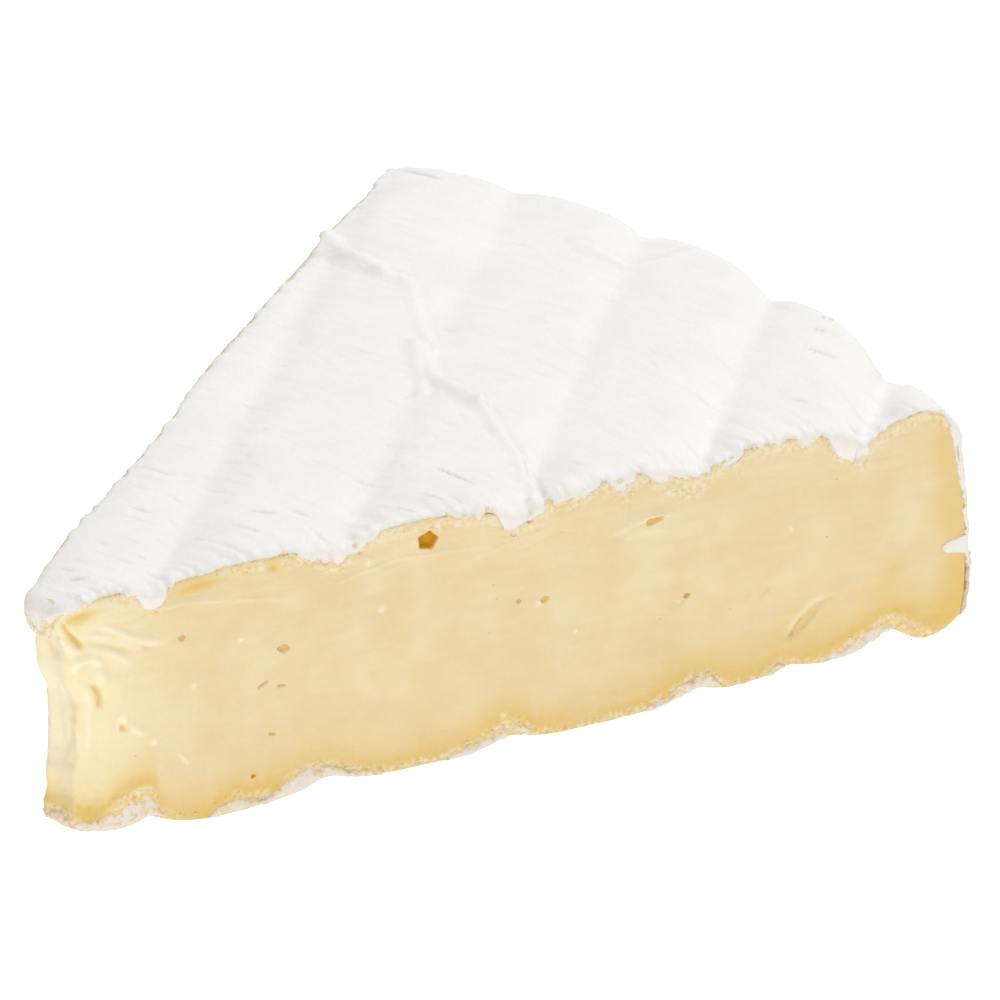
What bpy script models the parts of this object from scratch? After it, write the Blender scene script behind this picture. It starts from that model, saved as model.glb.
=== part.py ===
"""A wedge of camembert, one eighth of a large wheel, resting on its lower rind.

Metres, +Z up. The origin lies on the surface that the wedge stands on, at the middle of its
footprint. +X runs along the wedge's middle line from the cut tip to the wheel's rim, and the cut
face that the eye meets first is on the -Y side.

The wheel ripened on a rack, so both rinds carry broad furrows that run slantwise to the cuts.
"""

import math

import bmesh
import bpy
import numpy as np

MM = 0.001

# The wheel and the cut. Radii are measured from the corner where the two cut planes would meet.
CUT_ANGLE = math.radians(45.4)
HEIGHT = 33.8 * MM
TIP_RADIUS = 8.4 * MM
RIM_RADIUS = 126.5 * MM
CORNER_X = -68.28 * MM
CORNER_Y = -0.43 * MM
BACK_INSET = 1.5 * MM
BACK_CORNER_INSET = 1.0 * MM
BACK_CORNER_FROM = (90.0 * MM, 120.0 * MM)

# The rim: the wheel isn't quite round, its rim is set back at the shown cut and where a furrow meets it,
# swells low down, and rounds into both rinds, more tightly towards the far cut.
RIM_SKEW = 1.9 * MM
RIM_SETBACK = 1.6 * MM
RIM_NOTCH = 0.55
RIM_SWELL = 2.4 * MM
SWELL_AT = 0.28
SHOULDERS = (5.6 * MM, 3.6 * MM)
FOOT = 4.4 * MM

# The rack's furrows: (distance from the corner across the furrows, depth at the shown cut, depth at the
# far end), and how wide a furrow is at half its depth.
RACK_ANGLE = math.radians(29.7)
UPPER_FURROWS = (
    (15.3 * MM, 1.3 * MM, 1.1 * MM),
    (33.6 * MM, 1.9 * MM, 0.9 * MM),
    (51.8 * MM, 2.1 * MM, 1.5 * MM),
    (70.0 * MM, 2.4 * MM, 2.2 * MM),
    (87.4 * MM, 2.9 * MM, 3.0 * MM),
)
LOWER_FURROWS = (
    (14.0 * MM, 2.4 * MM, 1.6 * MM),
    (31.8 * MM, 1.9 * MM, 1.7 * MM),
    (50.6 * MM, 1.9 * MM, 1.8 * MM),
    (69.9 * MM, 2.0 * MM, 1.8 * MM),
    (79.6 * MM, 1.7 * MM, 1.2 * MM),
    (89.6 * MM, 3.4 * MM, 2.4 * MM),
)
FURROW_HALF_WIDTH = 2.9 * MM
FURROW_MIDDLE_SHARE = 0.5
FURROW_END_REACH = 11.0 * MM
FLATTENED = 0.55 * MM
UPPER_UNEVEN = (0.25 * MM, 26.0 * MM)
EDGE_DROP = 0.7 * MM
EDGE_DROP_REACH = 1.6 * MM

# The rind's cut edge on the two cut faces: how far it hangs down and stands out over the paste, and where
# a tongue of it hangs lower, as (distance from the corner, half width, extra hang).
RIND_THICKNESS = 1.3 * MM
RIND_UNEVEN = (0.35, 9.0 * MM)
LIP_PROUD = 0.75 * MM
LIP_FALLS_OVER = (-0.6 * MM, 0.4 * MM)
FOOT_PROUD = 0.25 * MM
FOOT_HEIGHT = 1.5 * MM
CUT_SAG = (0.35 * MM, 30.0 * MM)
CUT_BELLY = 0.5 * MM
CUT_REACH = 1.5 * MM
FRONT_TONGUES = (
    (19.6 * MM, 1.9 * MM, 2.3 * MM),
    (42.0 * MM, 2.7 * MM, 3.2 * MM),
    (65.0 * MM, 2.6 * MM, 3.4 * MM),
    (87.6 * MM, 3.4 * MM, 3.8 * MM),
    (109.6 * MM, 3.6 * MM, 4.2 * MM),
)
BACK_TONGUES = (
    (31.0 * MM, 2.6 * MM, 1.8 * MM),
    (58.0 * MM, 3.0 * MM, 2.2 * MM),
    (84.0 * MM, 2.8 * MM, 1.6 * MM),
    (107.0 * MM, 3.2 * MM, 2.4 * MM),
)

# The creamy tip: the paste has drawn back under the upper rind and sagged near the foot.
TIP_HOLLOW = 2.9 * MM
TIP_HOLLOW_AT = 0.66
TIP_PINCH = 0.45
TIP_LIFT = 2.3 * MM
TIP_DROP = 1.2 * MM
TIP_REACH = 5.5 * MM

# A soft fold that crosses the upper rind, as points in plan, and its height and half width.
FOLD = (
    (27.7, 37.3), (24.7, 33.1), (23.9, 26.2), (24.1, 22.3), (20.9, 18.2), (16.7, 13.5), (12.9, 8.5),
    (7.4, 2.1), (5.7, -7.5), (2.4, -13.0), (0.0, -18.2), (-4.9, -25.3),
)
FOLD_HEIGHT = 0.7 * MM
FOLD_HALF_WIDTH = 1.6 * MM

# Gas holes in the shown cut: (distance from the corner, height, half length, half height, depth).
HOLES = (
    (53.9, 29.6, 1.15, 1.00, 2.2),
    (35.3, 20.7, 0.62, 0.45, 0.9),
    (68.2, 19.1, 0.60, 0.42, 0.8),
    (87.1, 14.9, 0.75, 0.45, 0.8),
    (22.8, 25.1, 0.42, 0.36, 0.7),
)

# The block that becomes the wedge: steps from tip to rim, from cut to cut, and from foot to top, where they
# crowd towards both rinds.
RADIAL_STEPS = 56
CROSS_STEPS = 22
UPRIGHT_STEPS = 13
UPRIGHT_CROWDING = 0.7
SHOULDER_SHARE = 0.09
SWELL_SHARE = 0.25
PASTE_LEVELS = (0.09, 0.95)


def clear_scene():
    """Removes whatever the scene holds."""
    for thing in list(bpy.data.objects):
        bpy.data.objects.remove(thing, do_unlink=True)


def smooth_step(low, high, value):
    """0 below low, 1 above high, and an S curve between them."""
    share = np.clip((value - low) / (high - low), 0.0, 1.0)
    return share * share * (3.0 - 2.0 * share)


def waves(a, b, wavelength, seed, count=9):
    """A smooth uneven field from about -1 to 1: plane waves in seeded directions."""
    draw = np.random.default_rng(seed)
    total = np.zeros(np.broadcast(a, b).shape)
    for _ in range(count):
        heading = draw.uniform(0.0, 2.0 * math.pi)
        number = 2.0 * math.pi / (wavelength * draw.uniform(0.7, 1.5))
        phase = draw.uniform(0.0, 2.0 * math.pi)
        total += np.sin(number * (a * math.cos(heading) + b * math.sin(heading)) + phase)
    return total / math.sqrt(2.0 * count)


def furrow_field(x, y, furrows, to_front, to_far):
    """How deep the rack's furrows are at plan points measured from the corner."""
    across = x * math.sin(RACK_ANGLE) - y * math.cos(RACK_ANGLE)
    depth = np.zeros_like(across)
    near_front = np.exp(-to_front / FURROW_END_REACH)
    near_far = np.exp(-to_far / FURROW_END_REACH)
    for offset, front_depth, far_depth in furrows:
        middle = FURROW_MIDDLE_SHARE * 0.5 * (front_depth + far_depth)
        here = middle + (front_depth - middle) * near_front + (far_depth - middle) * near_far
        depth += here / (1.0 + ((across - offset) / FURROW_HALF_WIDTH) ** 2)
    return depth


def fold_field(x, y):
    """The height of the soft fold at plan points in the wedge's own frame."""
    nearest = np.full(x.shape, np.inf)
    for (ax, ay), (bx, by) in zip(FOLD[:-1], FOLD[1:]):
        ax, ay, bx, by = (value * MM for value in (ax, ay, bx, by))
        along_x, along_y = bx - ax, by - ay
        share = ((x - ax) * along_x + (y - ay) * along_y) / (along_x**2 + along_y**2)
        share = np.clip(share, 0.0, 1.0)
        gap = np.hypot(x - ax - share * along_x, y - ay - share * along_y)
        nearest = np.minimum(nearest, gap)
    return FOLD_HEIGHT * np.exp(-((nearest / FOLD_HALF_WIDTH) ** 2))


def hang_of(radius, tongues, seed):
    """How far the upper rind's edge hangs down a cut face at each distance from the corner."""
    share, wavelength = RIND_UNEVEN
    hang = RIND_THICKNESS * (1.0 + share * waves(radius, 0.0 * radius, wavelength, seed))
    for centre, half_width, extra in tongues:
        hang = hang + extra * np.exp(-(((radius - centre) / half_width) ** 2))
    return hang


def radial_station(along, rim, shoulder):
    """The radius of each station from tip to rim, and how far the rim's shoulder has turned there."""
    turn = np.clip((along - (1.0 - SHOULDER_SHARE)) / SHOULDER_SHARE, 0.0, 1.0) * 0.5 * math.pi
    straight = np.clip(along / (1.0 - SHOULDER_SHARE), 0.0, 1.0)
    radius = TIP_RADIUS + (rim - shoulder - TIP_RADIUS) * straight + shoulder * np.sin(turn)
    return radius, turn


def cut_relief(radius, height, top, bottom, tongues, seed):
    """How far a cut face stands out at each distance from the corner and height."""
    hang = hang_of(radius, tongues, seed)
    lip = smooth_step(*LIP_FALLS_OVER, height - (top - hang))
    foot = smooth_step(*LIP_FALLS_OVER, bottom + FOOT_HEIGHT - height)
    sag_depth, sag_length = CUT_SAG
    sag = sag_depth * waves(radius, height, sag_length, seed + 1)
    belly = CUT_BELLY * np.sin(math.pi * np.clip((height - bottom) / (top - bottom), 0.0, 1.0))
    return LIP_PROUD * lip + FOOT_PROUD * foot + sag + belly * (1.0 - lip)


def rim_radius(across, angle):
    """The rim's radius at each place from cut to cut, set back where a furrow runs out over it."""
    rim = RIM_RADIUS + RIM_SKEW * (2.0 * across - 1.0) - RIM_SETBACK * (1.0 - across) ** 6
    notch = furrow_field(rim * np.cos(angle), rim * np.sin(angle), UPPER_FURROWS, RIM_RADIUS, 0.0)
    return rim - RIM_NOTCH * notch


def peak_at(level, peak):
    """An arch over levels from 0 to 1 whose top is at the given level."""
    return np.sin(math.pi * level ** (math.log(0.5) / math.log(peak)))


def shape_block(points):
    """Bends the block's points, each coordinate from 0 to 1, to the wedge."""
    along, across, up = points.T
    up = up + UPRIGHT_CROWDING * (0.5 - 0.5 * np.cos(math.pi * up) - up)
    half = 0.5 * CUT_ANGLE
    angle = (2.0 * across - 1.0) * half
    rim = rim_radius(across, angle)
    shoulder = SHOULDERS[0] + (SHOULDERS[1] - SHOULDERS[0]) * across
    radius, turn = radial_station(along, rim, shoulder)
    x = radius * np.cos(angle)
    y = radius * np.sin(angle)
    from_front = radius * np.sin(angle + half)
    from_back = radius * np.sin(half - angle)
    to_far = np.minimum(from_back, np.clip(rim - radius, 0.0, None))
    at_tip = np.exp(-(((radius - TIP_RADIUS) / TIP_REACH) ** 2))

    uneven_depth, uneven_length = UPPER_UNEVEN
    edges = np.exp(-from_front / EDGE_DROP_REACH) + np.exp(-from_back / EDGE_DROP_REACH)
    top = HEIGHT - furrow_field(x, y, UPPER_FURROWS, from_front, to_far) - EDGE_DROP * edges
    top = top + fold_field(x + CORNER_X, y + CORNER_Y) + uneven_depth * waves(x, y, uneven_length, 3)
    top = top - TIP_DROP * at_tip - shoulder * (1.0 - np.cos(turn))
    lower = furrow_field(x, y, LOWER_FURROWS, from_front, to_far)
    bottom = np.clip(lower - FLATTENED, 0.0, None) + TIP_LIFT * at_tip + FOOT * (1.0 - np.cos(turn))
    height = bottom + (top - bottom) * up

    level = np.clip(height / HEIGHT, 0.0, 1.0)
    hollow = TIP_HOLLOW * peak_at(level, TIP_HOLLOW_AT) * at_tip
    pull = RIM_SWELL * peak_at(level, SWELL_AT) * smooth_step(1.0 - SWELL_SHARE, 1.0, along) + hollow
    front = cut_relief(radius, height, top, bottom, FRONT_TONGUES, 11) * np.exp(-from_front / CUT_REACH)
    back = cut_relief(radius, height, top, bottom, BACK_TONGUES, 17) * np.exp(-from_back / CUT_REACH)
    inset = BACK_INSET * (1.0 - radius / RIM_RADIUS)
    inset = inset + BACK_CORNER_INSET * smooth_step(*BACK_CORNER_FROM, radius)
    pinch = TIP_PINCH * hollow * (2.0 * across - 1.0)
    x = x + pull * np.cos(angle) - (front + back) * math.sin(half)
    y = y + pull * np.sin(angle) + (back - front) * math.cos(half) - inset * across - pinch
    return np.stack([x + CORNER_X, y + CORNER_Y, height], axis=1)


def make_material(name, colour, roughness):
    """A plain Principled material."""
    material = bpy.data.materials.new(name)
    material.use_nodes = True
    shader = material.node_tree.nodes["Principled BSDF"]
    shader.inputs["Base Color"].default_value = (*colour, 1.0)
    shader.inputs["Roughness"].default_value = roughness
    shader.inputs["Metallic"].default_value = 0.0
    return material


def subdivided_block():
    """A unit cube from the origin, cut into even steps along each of its three directions."""
    block = bmesh.new()
    bmesh.ops.create_cube(block, size=1.0)
    bmesh.ops.translate(block, verts=block.verts, vec=(0.5, 0.5, 0.5))
    for axis, steps in enumerate((RADIAL_STEPS, CROSS_STEPS, UPRIGHT_STEPS)):
        edges = [
            edge for edge in block.edges
            if abs(edge.verts[0].co[axis] - edge.verts[1].co[axis]) > 0.5
        ]
        bmesh.ops.subdivide_edges(block, edges=edges, cuts=steps - 1, use_grid_fill=True)
    return block


def make_wedge(collection):
    """The wedge as one object, with the rind and the paste as its two materials."""
    block = subdivided_block()
    mesh = bpy.data.meshes.new("camembert_wedge")
    block.to_mesh(mesh)
    block.free()
    points = np.empty(len(mesh.vertices) * 3)
    mesh.vertices.foreach_get("co", points)
    points = points.reshape(-1, 3)
    mesh.vertices.foreach_set("co", shape_block(points).ravel())

    mesh.materials.append(make_material("rind", (0.88, 0.86, 0.82), 0.85))
    mesh.materials.append(make_material("paste", (0.84, 0.70, 0.40), 0.45))
    for face in mesh.polygons:
        corners = points[list(face.vertices)]
        on_cut = np.ptp(corners[:, 1]) < 1e-6 and corners[0, 1] in (0.0, 1.0)
        on_tip = np.ptp(corners[:, 0]) < 1e-6 and corners[0, 0] == 0.0
        in_paste = PASTE_LEVELS[0] < corners[:, 2].mean() < PASTE_LEVELS[1]
        face.material_index = int((on_cut or on_tip) and in_paste)
    mesh.update()
    wedge = bpy.data.objects.new("camembert_wedge", mesh)
    collection.objects.link(wedge)
    return wedge


def make_hole_cutters(collection):
    """An ellipsoid for each gas hole in the shown cut, half sunk in it."""
    half = 0.5 * CUT_ANGLE
    for number, (radius, height, half_length, half_height, depth) in enumerate(HOLES):
        bpy.ops.mesh.primitive_uv_sphere_add(segments=10, ring_count=6, radius=1.0)
        cutter = bpy.context.object
        cutter.name = f"gas_hole_{number}"
        cutter.scale = (half_length * MM, depth * MM, half_height * MM)
        bpy.ops.object.transform_apply(location=False, rotation=False, scale=True)
        cutter.rotation_euler = (0.0, 0.0, -half)
        cutter.location = (
            CORNER_X + radius * MM * math.cos(half),
            CORNER_Y - radius * MM * math.sin(half),
            height * MM,
        )
        cutter.hide_render = True
        cutter.display_type = "WIRE"
        for home in list(cutter.users_collection):
            home.objects.unlink(cutter)
        collection.objects.link(cutter)


def main():
    """Builds the wedge and cuts its gas holes."""
    clear_scene()
    cheese = bpy.data.collections.new("camembert")
    cutters = bpy.data.collections.new("cutters")
    bpy.context.scene.collection.children.link(cheese)
    bpy.context.scene.collection.children.link(cutters)
    wedge = make_wedge(cheese)
    make_hole_cutters(cutters)
    holes = wedge.modifiers.new("gas_holes", "BOOLEAN")
    holes.operation = "DIFFERENCE"
    holes.operand_type = "COLLECTION"
    holes.collection = cutters
    holes.solver = "EXACT"


main()
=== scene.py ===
"""Dresses the wedge of camembert: its rind, its paste, the crumbs on it, a floor, light and a camera.

Lengths are millimetres in the frame of the wheel's corner, the point where the two cut planes would meet,
until a finished mesh is set in its place in metres.
"""
import logging
import math
from dataclasses import dataclass
from enum import Enum
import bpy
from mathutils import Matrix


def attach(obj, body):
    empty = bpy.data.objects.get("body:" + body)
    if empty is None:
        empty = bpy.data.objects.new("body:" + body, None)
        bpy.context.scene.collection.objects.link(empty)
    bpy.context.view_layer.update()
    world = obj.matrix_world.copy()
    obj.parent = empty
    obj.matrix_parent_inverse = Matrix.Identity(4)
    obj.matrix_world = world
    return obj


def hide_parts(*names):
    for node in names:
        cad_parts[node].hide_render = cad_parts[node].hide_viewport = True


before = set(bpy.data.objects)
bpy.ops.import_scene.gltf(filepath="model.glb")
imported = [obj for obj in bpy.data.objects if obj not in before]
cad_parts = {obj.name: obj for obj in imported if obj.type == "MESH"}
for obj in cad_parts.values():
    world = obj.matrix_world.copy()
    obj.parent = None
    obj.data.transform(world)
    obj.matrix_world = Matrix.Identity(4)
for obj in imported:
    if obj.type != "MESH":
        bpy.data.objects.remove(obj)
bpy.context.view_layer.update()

from types import SimpleNamespace

import bpy
import numpy as np
from mathutils import Vector

WEDGE_NODE = "camembert_wedge"
BODY = "root"
MM = 0.001
WHITE = (1.0, 1.0, 1.0, 1.0)
RIM_ZONE = (80.0, 100.0)
Array = np.ndarray
Piece = bpy.types.Object
Socket = bpy.types.NodeSocket
Pair = tuple[float, float]
Triple = tuple[float, float, float]
Colour = tuple[float, float, float, float]

logging.basicConfig(level=logging.INFO, format="%(message)s")
LOG = logging.getLogger("camembert")


class Side(Enum):
    """Which rind a sheet belongs to."""

    UPPER = "upper"
    LOWER = "lower"


def smooth_step(low: float, high: float, value: Array) -> Array:
    """Gives 0 below low, 1 above high, and an S curve between them."""
    share = np.clip((value - low) / (high - low), 0.0, 1.0)
    return share * share * (3.0 - 2.0 * share)


def bell(distance: Array, half_width: float) -> Array:
    """Gives 1 at no distance, falling off over about the half width."""
    return np.exp(-((distance / half_width) ** 2))


def tapered(passed: Array, share: float) -> Array:
    """Gives 1 along a route's middle, and falls to 0 over the share at either end."""
    return smooth_step(0.0, share, passed) * (1.0 - smooth_step(1.0 - share, 1.0, passed))


def waves(a: Array, b: Array, wavelength: float, seed: int, count: int = 9) -> Array:
    """Sums plane waves in seeded directions, the same slow unevenness that the solid has.

    Args:
        a: First coordinate.
        b: Second coordinate.
        wavelength: Typical length of a wave.
        seed: Seed of the draw.
        count: Number of waves.

    Returns:
        A field from about -1 to 1.
    """
    draw = np.random.default_rng(seed)
    total = np.zeros(np.broadcast(a, b).shape)
    for _ in range(count):
        heading = draw.uniform(0.0, 2.0 * math.pi)
        number = 2.0 * math.pi / (wavelength * draw.uniform(0.7, 1.5))
        phase = draw.uniform(0.0, 2.0 * math.pi)
        total += np.sin(number * (a * math.cos(heading) + b * math.sin(heading)) + phase)
    return total / math.sqrt(2.0 * count)


class GradientNoise:
    """Seeded gradient noise on a lattice, for whole arrays at once."""

    PERIOD = 256
    GAIN = 0.5
    SHIFT = (17.3, 5.1, 9.7)

    def __init__(self, seed: int) -> None:
        """Draws the lattice's order and its gradients."""
        draw = np.random.default_rng(seed)
        self._order = draw.permutation(self.PERIOD)
        gradients = draw.normal(size=(self.PERIOD, 3))
        self._gradients = gradients / np.linalg.norm(gradients, axis=1, keepdims=True)

    def at(self, x: Array, y: Array, z: Array) -> Array:
        """Gives the noise, about -1 to 1, at points whose cells are one unit wide."""
        spot = np.stack(np.broadcast_arrays(x, y, z), axis=-1).astype(float)
        cell = np.floor(spot).astype(int)
        inside = spot - cell
        ease = inside**3 * (inside * (inside * 6.0 - 15.0) + 10.0)
        total = np.zeros(spot.shape[:-1])
        for corner in np.ndindex(2, 2, 2):
            place = (cell + corner) % self.PERIOD
            key = self._order[place[..., 0]]
            key = self._order[(key + place[..., 1]) % self.PERIOD]
            key = self._order[(key + place[..., 2]) % self.PERIOD]
            pull = (self._gradients[key] * (inside - corner)).sum(axis=-1)
            weight = np.where(np.array(corner) == 1, ease, 1.0 - ease).prod(axis=-1)
            total += pull * weight
        return total * 1.7

    def layers(self, x: Array, y: Array, z: Array, wavelength: float, count: int) -> Array:
        """Sums layers of noise, each half as long as the last.

        Args:
            x: First coordinate.
            y: Second coordinate.
            z: Third coordinate.
            wavelength: Length of the first layer's cells.
            count: Number of layers.

        Returns:
            A field from about -1 to 1.
        """
        total = 0.0
        height = 1.0
        for layer in range(count):
            scale = 2.0**layer / wavelength
            shift_x, shift_y, shift_z = self.SHIFT
            spot = (x * scale + shift_x * layer, y * scale + shift_y * layer, z * scale + shift_z)
            total = total + height * self.at(*spot)
            height *= self.GAIN
        return total


def distance_to_route(x: Array, y: Array, route: tuple[Pair, ...]) -> tuple:
    """Measures from points to a route of straight stretches.

    Args:
        x: First coordinates of the points.
        y: Second coordinates.
        route: The route's corners.

    Returns:
        The distance, the signed distance (positive left of the route) and the share of the route passed.
    """
    nearest = np.full(np.shape(x), np.inf)
    signed = np.zeros(np.shape(x))
    passed = np.zeros(np.shape(x))
    spans = [math.dist(start, end) for start, end in zip(route[:-1], route[1:])]
    length = sum(spans)
    done = 0.0
    for (start_x, start_y), (end_x, end_y), span in zip(route[:-1], route[1:], spans):
        along_x = (end_x - start_x) / span
        along_y = (end_y - start_y) / span
        share = np.clip((x - start_x) * along_x + (y - start_y) * along_y, 0.0, span)
        off_x = x - start_x - share * along_x
        off_y = y - start_y - share * along_y
        gap = np.hypot(off_x, off_y)
        closer = gap < nearest
        nearest = np.where(closer, gap, nearest)
        signed = np.where(closer, np.sign(along_x * off_y - along_y * off_x) * gap, signed)
        passed = np.where(closer, (done + share) / length, passed)
        done += span
    return nearest, signed, passed


@dataclass(frozen=True)
class Furrow:
    """A furrow that a bar of the ripening rack pressed in.

    Attributes:
        across: Its distance from the corner, across the furrows.
        near: Its depth at the shown cut.
        far: Its depth at its far end.
    """

    across: float
    near: float
    far: float


@dataclass(frozen=True)
class Tongue:
    """A place where the rind's cut edge hangs further over the paste.

    Attributes:
        at: Distance from the corner along the cut.
        half_width: Half its width.
        hang: How much further it hangs.
    """

    at: float
    half_width: float
    hang: float


@dataclass(frozen=True)
class Plan:
    """Where points of the block lie in plan, and how the rim's shoulder has turned there."""

    along: Array
    across: Array
    radius: Array
    angle: Array
    turn: Array
    shoulder: Array
    x: Array
    y: Array
    from_front: Array
    to_far: Array
    edge: Array
    at_tip: Array


@dataclass(frozen=True)
class Wedge:
    """The wedge's form, worked out from the same sizes as the solid."""

    cut_angle: float = math.radians(45.4)
    height: float = 33.8
    tip_radius: float = 8.4
    rim_radius: float = 126.5
    corner: Pair = (-68.28, -0.43)
    back_inset: float = 1.5
    back_corner_inset: float = 1.0
    back_corner_from: Pair = (90.0, 120.0)
    rim_skew: float = 1.9
    rim_setback: float = 1.6
    rim_notch: float = 0.55
    rim_swell: float = 2.4
    swell_at: float = 0.28
    swell_share: float = 0.25
    shoulders: Pair = (5.6, 3.6)
    shoulder_share: float = 0.09
    foot: float = 4.4
    rack_angle: float = math.radians(29.7)
    upper_furrows: tuple[Furrow, ...] = (
        Furrow(15.3, 1.3, 1.1),
        Furrow(33.6, 1.9, 0.9),
        Furrow(51.8, 2.1, 1.5),
        Furrow(70.0, 2.4, 2.2),
        Furrow(87.4, 2.9, 3.0),
    )
    lower_furrows: tuple[Furrow, ...] = (
        Furrow(14.0, 2.4, 1.6),
        Furrow(31.8, 1.9, 1.7),
        Furrow(50.6, 1.9, 1.8),
        Furrow(69.9, 2.0, 1.8),
        Furrow(79.6, 1.7, 1.2),
        Furrow(89.6, 3.4, 2.4),
    )
    furrow_half_width: float = 2.9
    furrow_middle_share: float = 0.5
    furrow_end_reach: float = 11.0
    flattened: float = 0.55
    uneven: Pair = (0.25, 26.0)
    edge_drop: float = 0.7
    edge_drop_reach: float = 1.6
    tip_hollow: float = 2.9
    tip_steps: tuple[Triple, ...] = ((0.0, 3.0, 0.28), (3.5, 6.5, 0.2), (8.3, 12.8, 0.38))
    tip_eaves: tuple[Triple, ...] = ((18.8, 23.2, 0.72), (23.0, 32.0, 0.28))
    tip_pinch: float = 0.45
    tip_lift: float = 2.3
    tip_drop: float = 1.2
    tip_reach: float = 5.5
    cut_sag: Pair = (0.35, 30.0)
    cut_belly: float = 0.5
    sag_from: Pair = (7.0, 16.0)
    sag_to: Pair = (104.0, 120.5)

    @property
    def half(self) -> float:
        """Half the angle between the two cuts."""
        return 0.5 * self.cut_angle

    def across_rack(self, x: Array, y: Array) -> Array:
        """Gives the distance from the corner across the furrows."""
        return x * math.sin(self.rack_angle) - y * math.cos(self.rack_angle)

    def furrow_depth(
        self, x: Array, y: Array, rows: tuple[Furrow, ...], to_front: Array, to_far: Array
    ) -> Array:
        """Sums the furrows' depths at plan points.

        Args:
            x: Plan coordinate from the corner.
            y: Plan coordinate from the corner.
            rows: The furrows.
            to_front: Distance to the shown cut.
            to_far: Distance to the back cut or the rim.

        Returns:
            The depth at each point.
        """
        across = self.across_rack(x, y)
        near_front = np.exp(-to_front / self.furrow_end_reach)
        near_far = np.exp(-to_far / self.furrow_end_reach)
        depth = np.zeros(np.shape(across))
        for row in rows:
            middle = self.furrow_middle_share * 0.5 * (row.near + row.far)
            here = middle + (row.near - middle) * near_front + (row.far - middle) * near_far
            depth = depth + here / (1.0 + ((across - row.across) / self.furrow_half_width) ** 2)
        return depth

    def rim_at(self, across: Array, angle: Array) -> Array:
        """Gives the rim's radius from cut to cut, set back where a furrow runs out over it."""
        rim = self.rim_radius + self.rim_skew * (2.0 * across - 1.0) - self.rim_setback * (1.0 - across) ** 6
        x = rim * np.cos(angle)
        y = rim * np.sin(angle)
        far_off = np.full(np.shape(rim), self.rim_radius)
        notch = self.furrow_depth(x, y, self.upper_furrows, far_off, np.zeros_like(x))
        return rim - self.rim_notch * notch

    def plan(self, along: Array, across: Array, inset: float = 0.0, tip_bulge: float = 0.0) -> Plan:
        """Places points of the block in plan.

        Args:
            along: Share of the way from tip to rim.
            across: Share of the way from the shown cut to the back cut.
            inset: How far inside the cuts the block's sides are.
            tip_bulge: How much the tip's corners are rounded off.

        Returns:
            The points' places in plan.
        """
        along, across = (np.asarray(value, float) for value in np.broadcast_arrays(along, across))
        shoulder = self.shoulders[0] + (self.shoulders[1] - self.shoulders[0]) * across
        turn = np.clip((along - 1.0 + self.shoulder_share) / self.shoulder_share, 0.0, 1.0) * 0.5 * math.pi
        straight = np.clip(along / (1.0 - self.shoulder_share), 0.0, 1.0)
        side = np.abs(2.0 * across - 1.0)
        start = self.tip_radius
        for _ in range(2):
            angle = (2.0 * across - 1.0) * self.half
            rim = self.rim_at(across, angle)
            radius = start + (rim - shoulder - start) * straight + shoulder * np.sin(turn)
            if inset > 0.0:
                rounded = tip_bulge * (1.0 - (1.0 - np.clip(side, 0.0, 1.0) ** 2.6) ** (1.0 / 2.6))
                radius = radius + (inset + rounded) * np.exp(-(radius - start) / 8.0)
                narrowed = np.arcsin(np.clip(inset / radius, 0.0, 0.9)) / self.half
                angle = angle * (1.0 - narrowed)
        x = radius * np.cos(angle)
        y = radius * np.sin(angle)
        from_front = np.clip(radius * np.sin(angle + self.half), 0.0, None)
        from_back = np.clip(radius * np.sin(self.half - angle), 0.0, None)
        to_far = np.minimum(from_back, np.clip(rim - radius, 0.0, None))
        edge = np.exp(-from_front / self.edge_drop_reach) + np.exp(-from_back / self.edge_drop_reach)
        at_tip = bell(radius - self.tip_radius, self.tip_reach)
        return Plan(along, across, radius, angle, turn, shoulder, x, y, from_front, to_far, edge, at_tip)

    def top(self, plan: Plan) -> Array:
        """Gives the upper rind's height."""
        depth, wavelength = self.uneven
        furrows = self.furrow_depth(plan.x, plan.y, self.upper_furrows, plan.from_front, plan.to_far)
        uneven = depth * waves(plan.x, plan.y, wavelength, 3)
        top = self.height - furrows - self.edge_drop * plan.edge + uneven
        return top - self.tip_drop * plan.at_tip - plan.shoulder * (1.0 - np.cos(plan.turn))

    def bottom(self, plan: Plan) -> Array:
        """Gives the lower rind's height."""
        furrows = self.furrow_depth(plan.x, plan.y, self.lower_furrows, plan.from_front, plan.to_far)
        bottom = np.clip(furrows - self.flattened, 0.0, None) + self.tip_lift * plan.at_tip
        return bottom + self.foot * (1.0 - np.cos(plan.turn))

    def hollow(self, height: Array) -> Array:
        """Gives how far the tip is drawn in at each height."""
        risen = sum(share * smooth_step(low, high, height) for low, high, share in self.tip_steps)
        under = 1.0 - sum(share * smooth_step(low, high, height) for low, high, share in self.tip_eaves)
        return self.tip_hollow * risen * under

    def settle(self, plan: Plan, height: Array) -> Array:
        """Adds the rim's swell, the tip's hollow and the back cut's inset to points of the block.

        Args:
            plan: The points' places in plan.
            height: Their heights.

        Returns:
            The points from the corner, one a row along the last axis.
        """
        shift_x, shift_y = self.shift(plan, height)
        x = plan.x + shift_x
        y = plan.y + shift_y
        return np.stack([x, y, np.broadcast_to(height, np.shape(x))], axis=-1)

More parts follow.
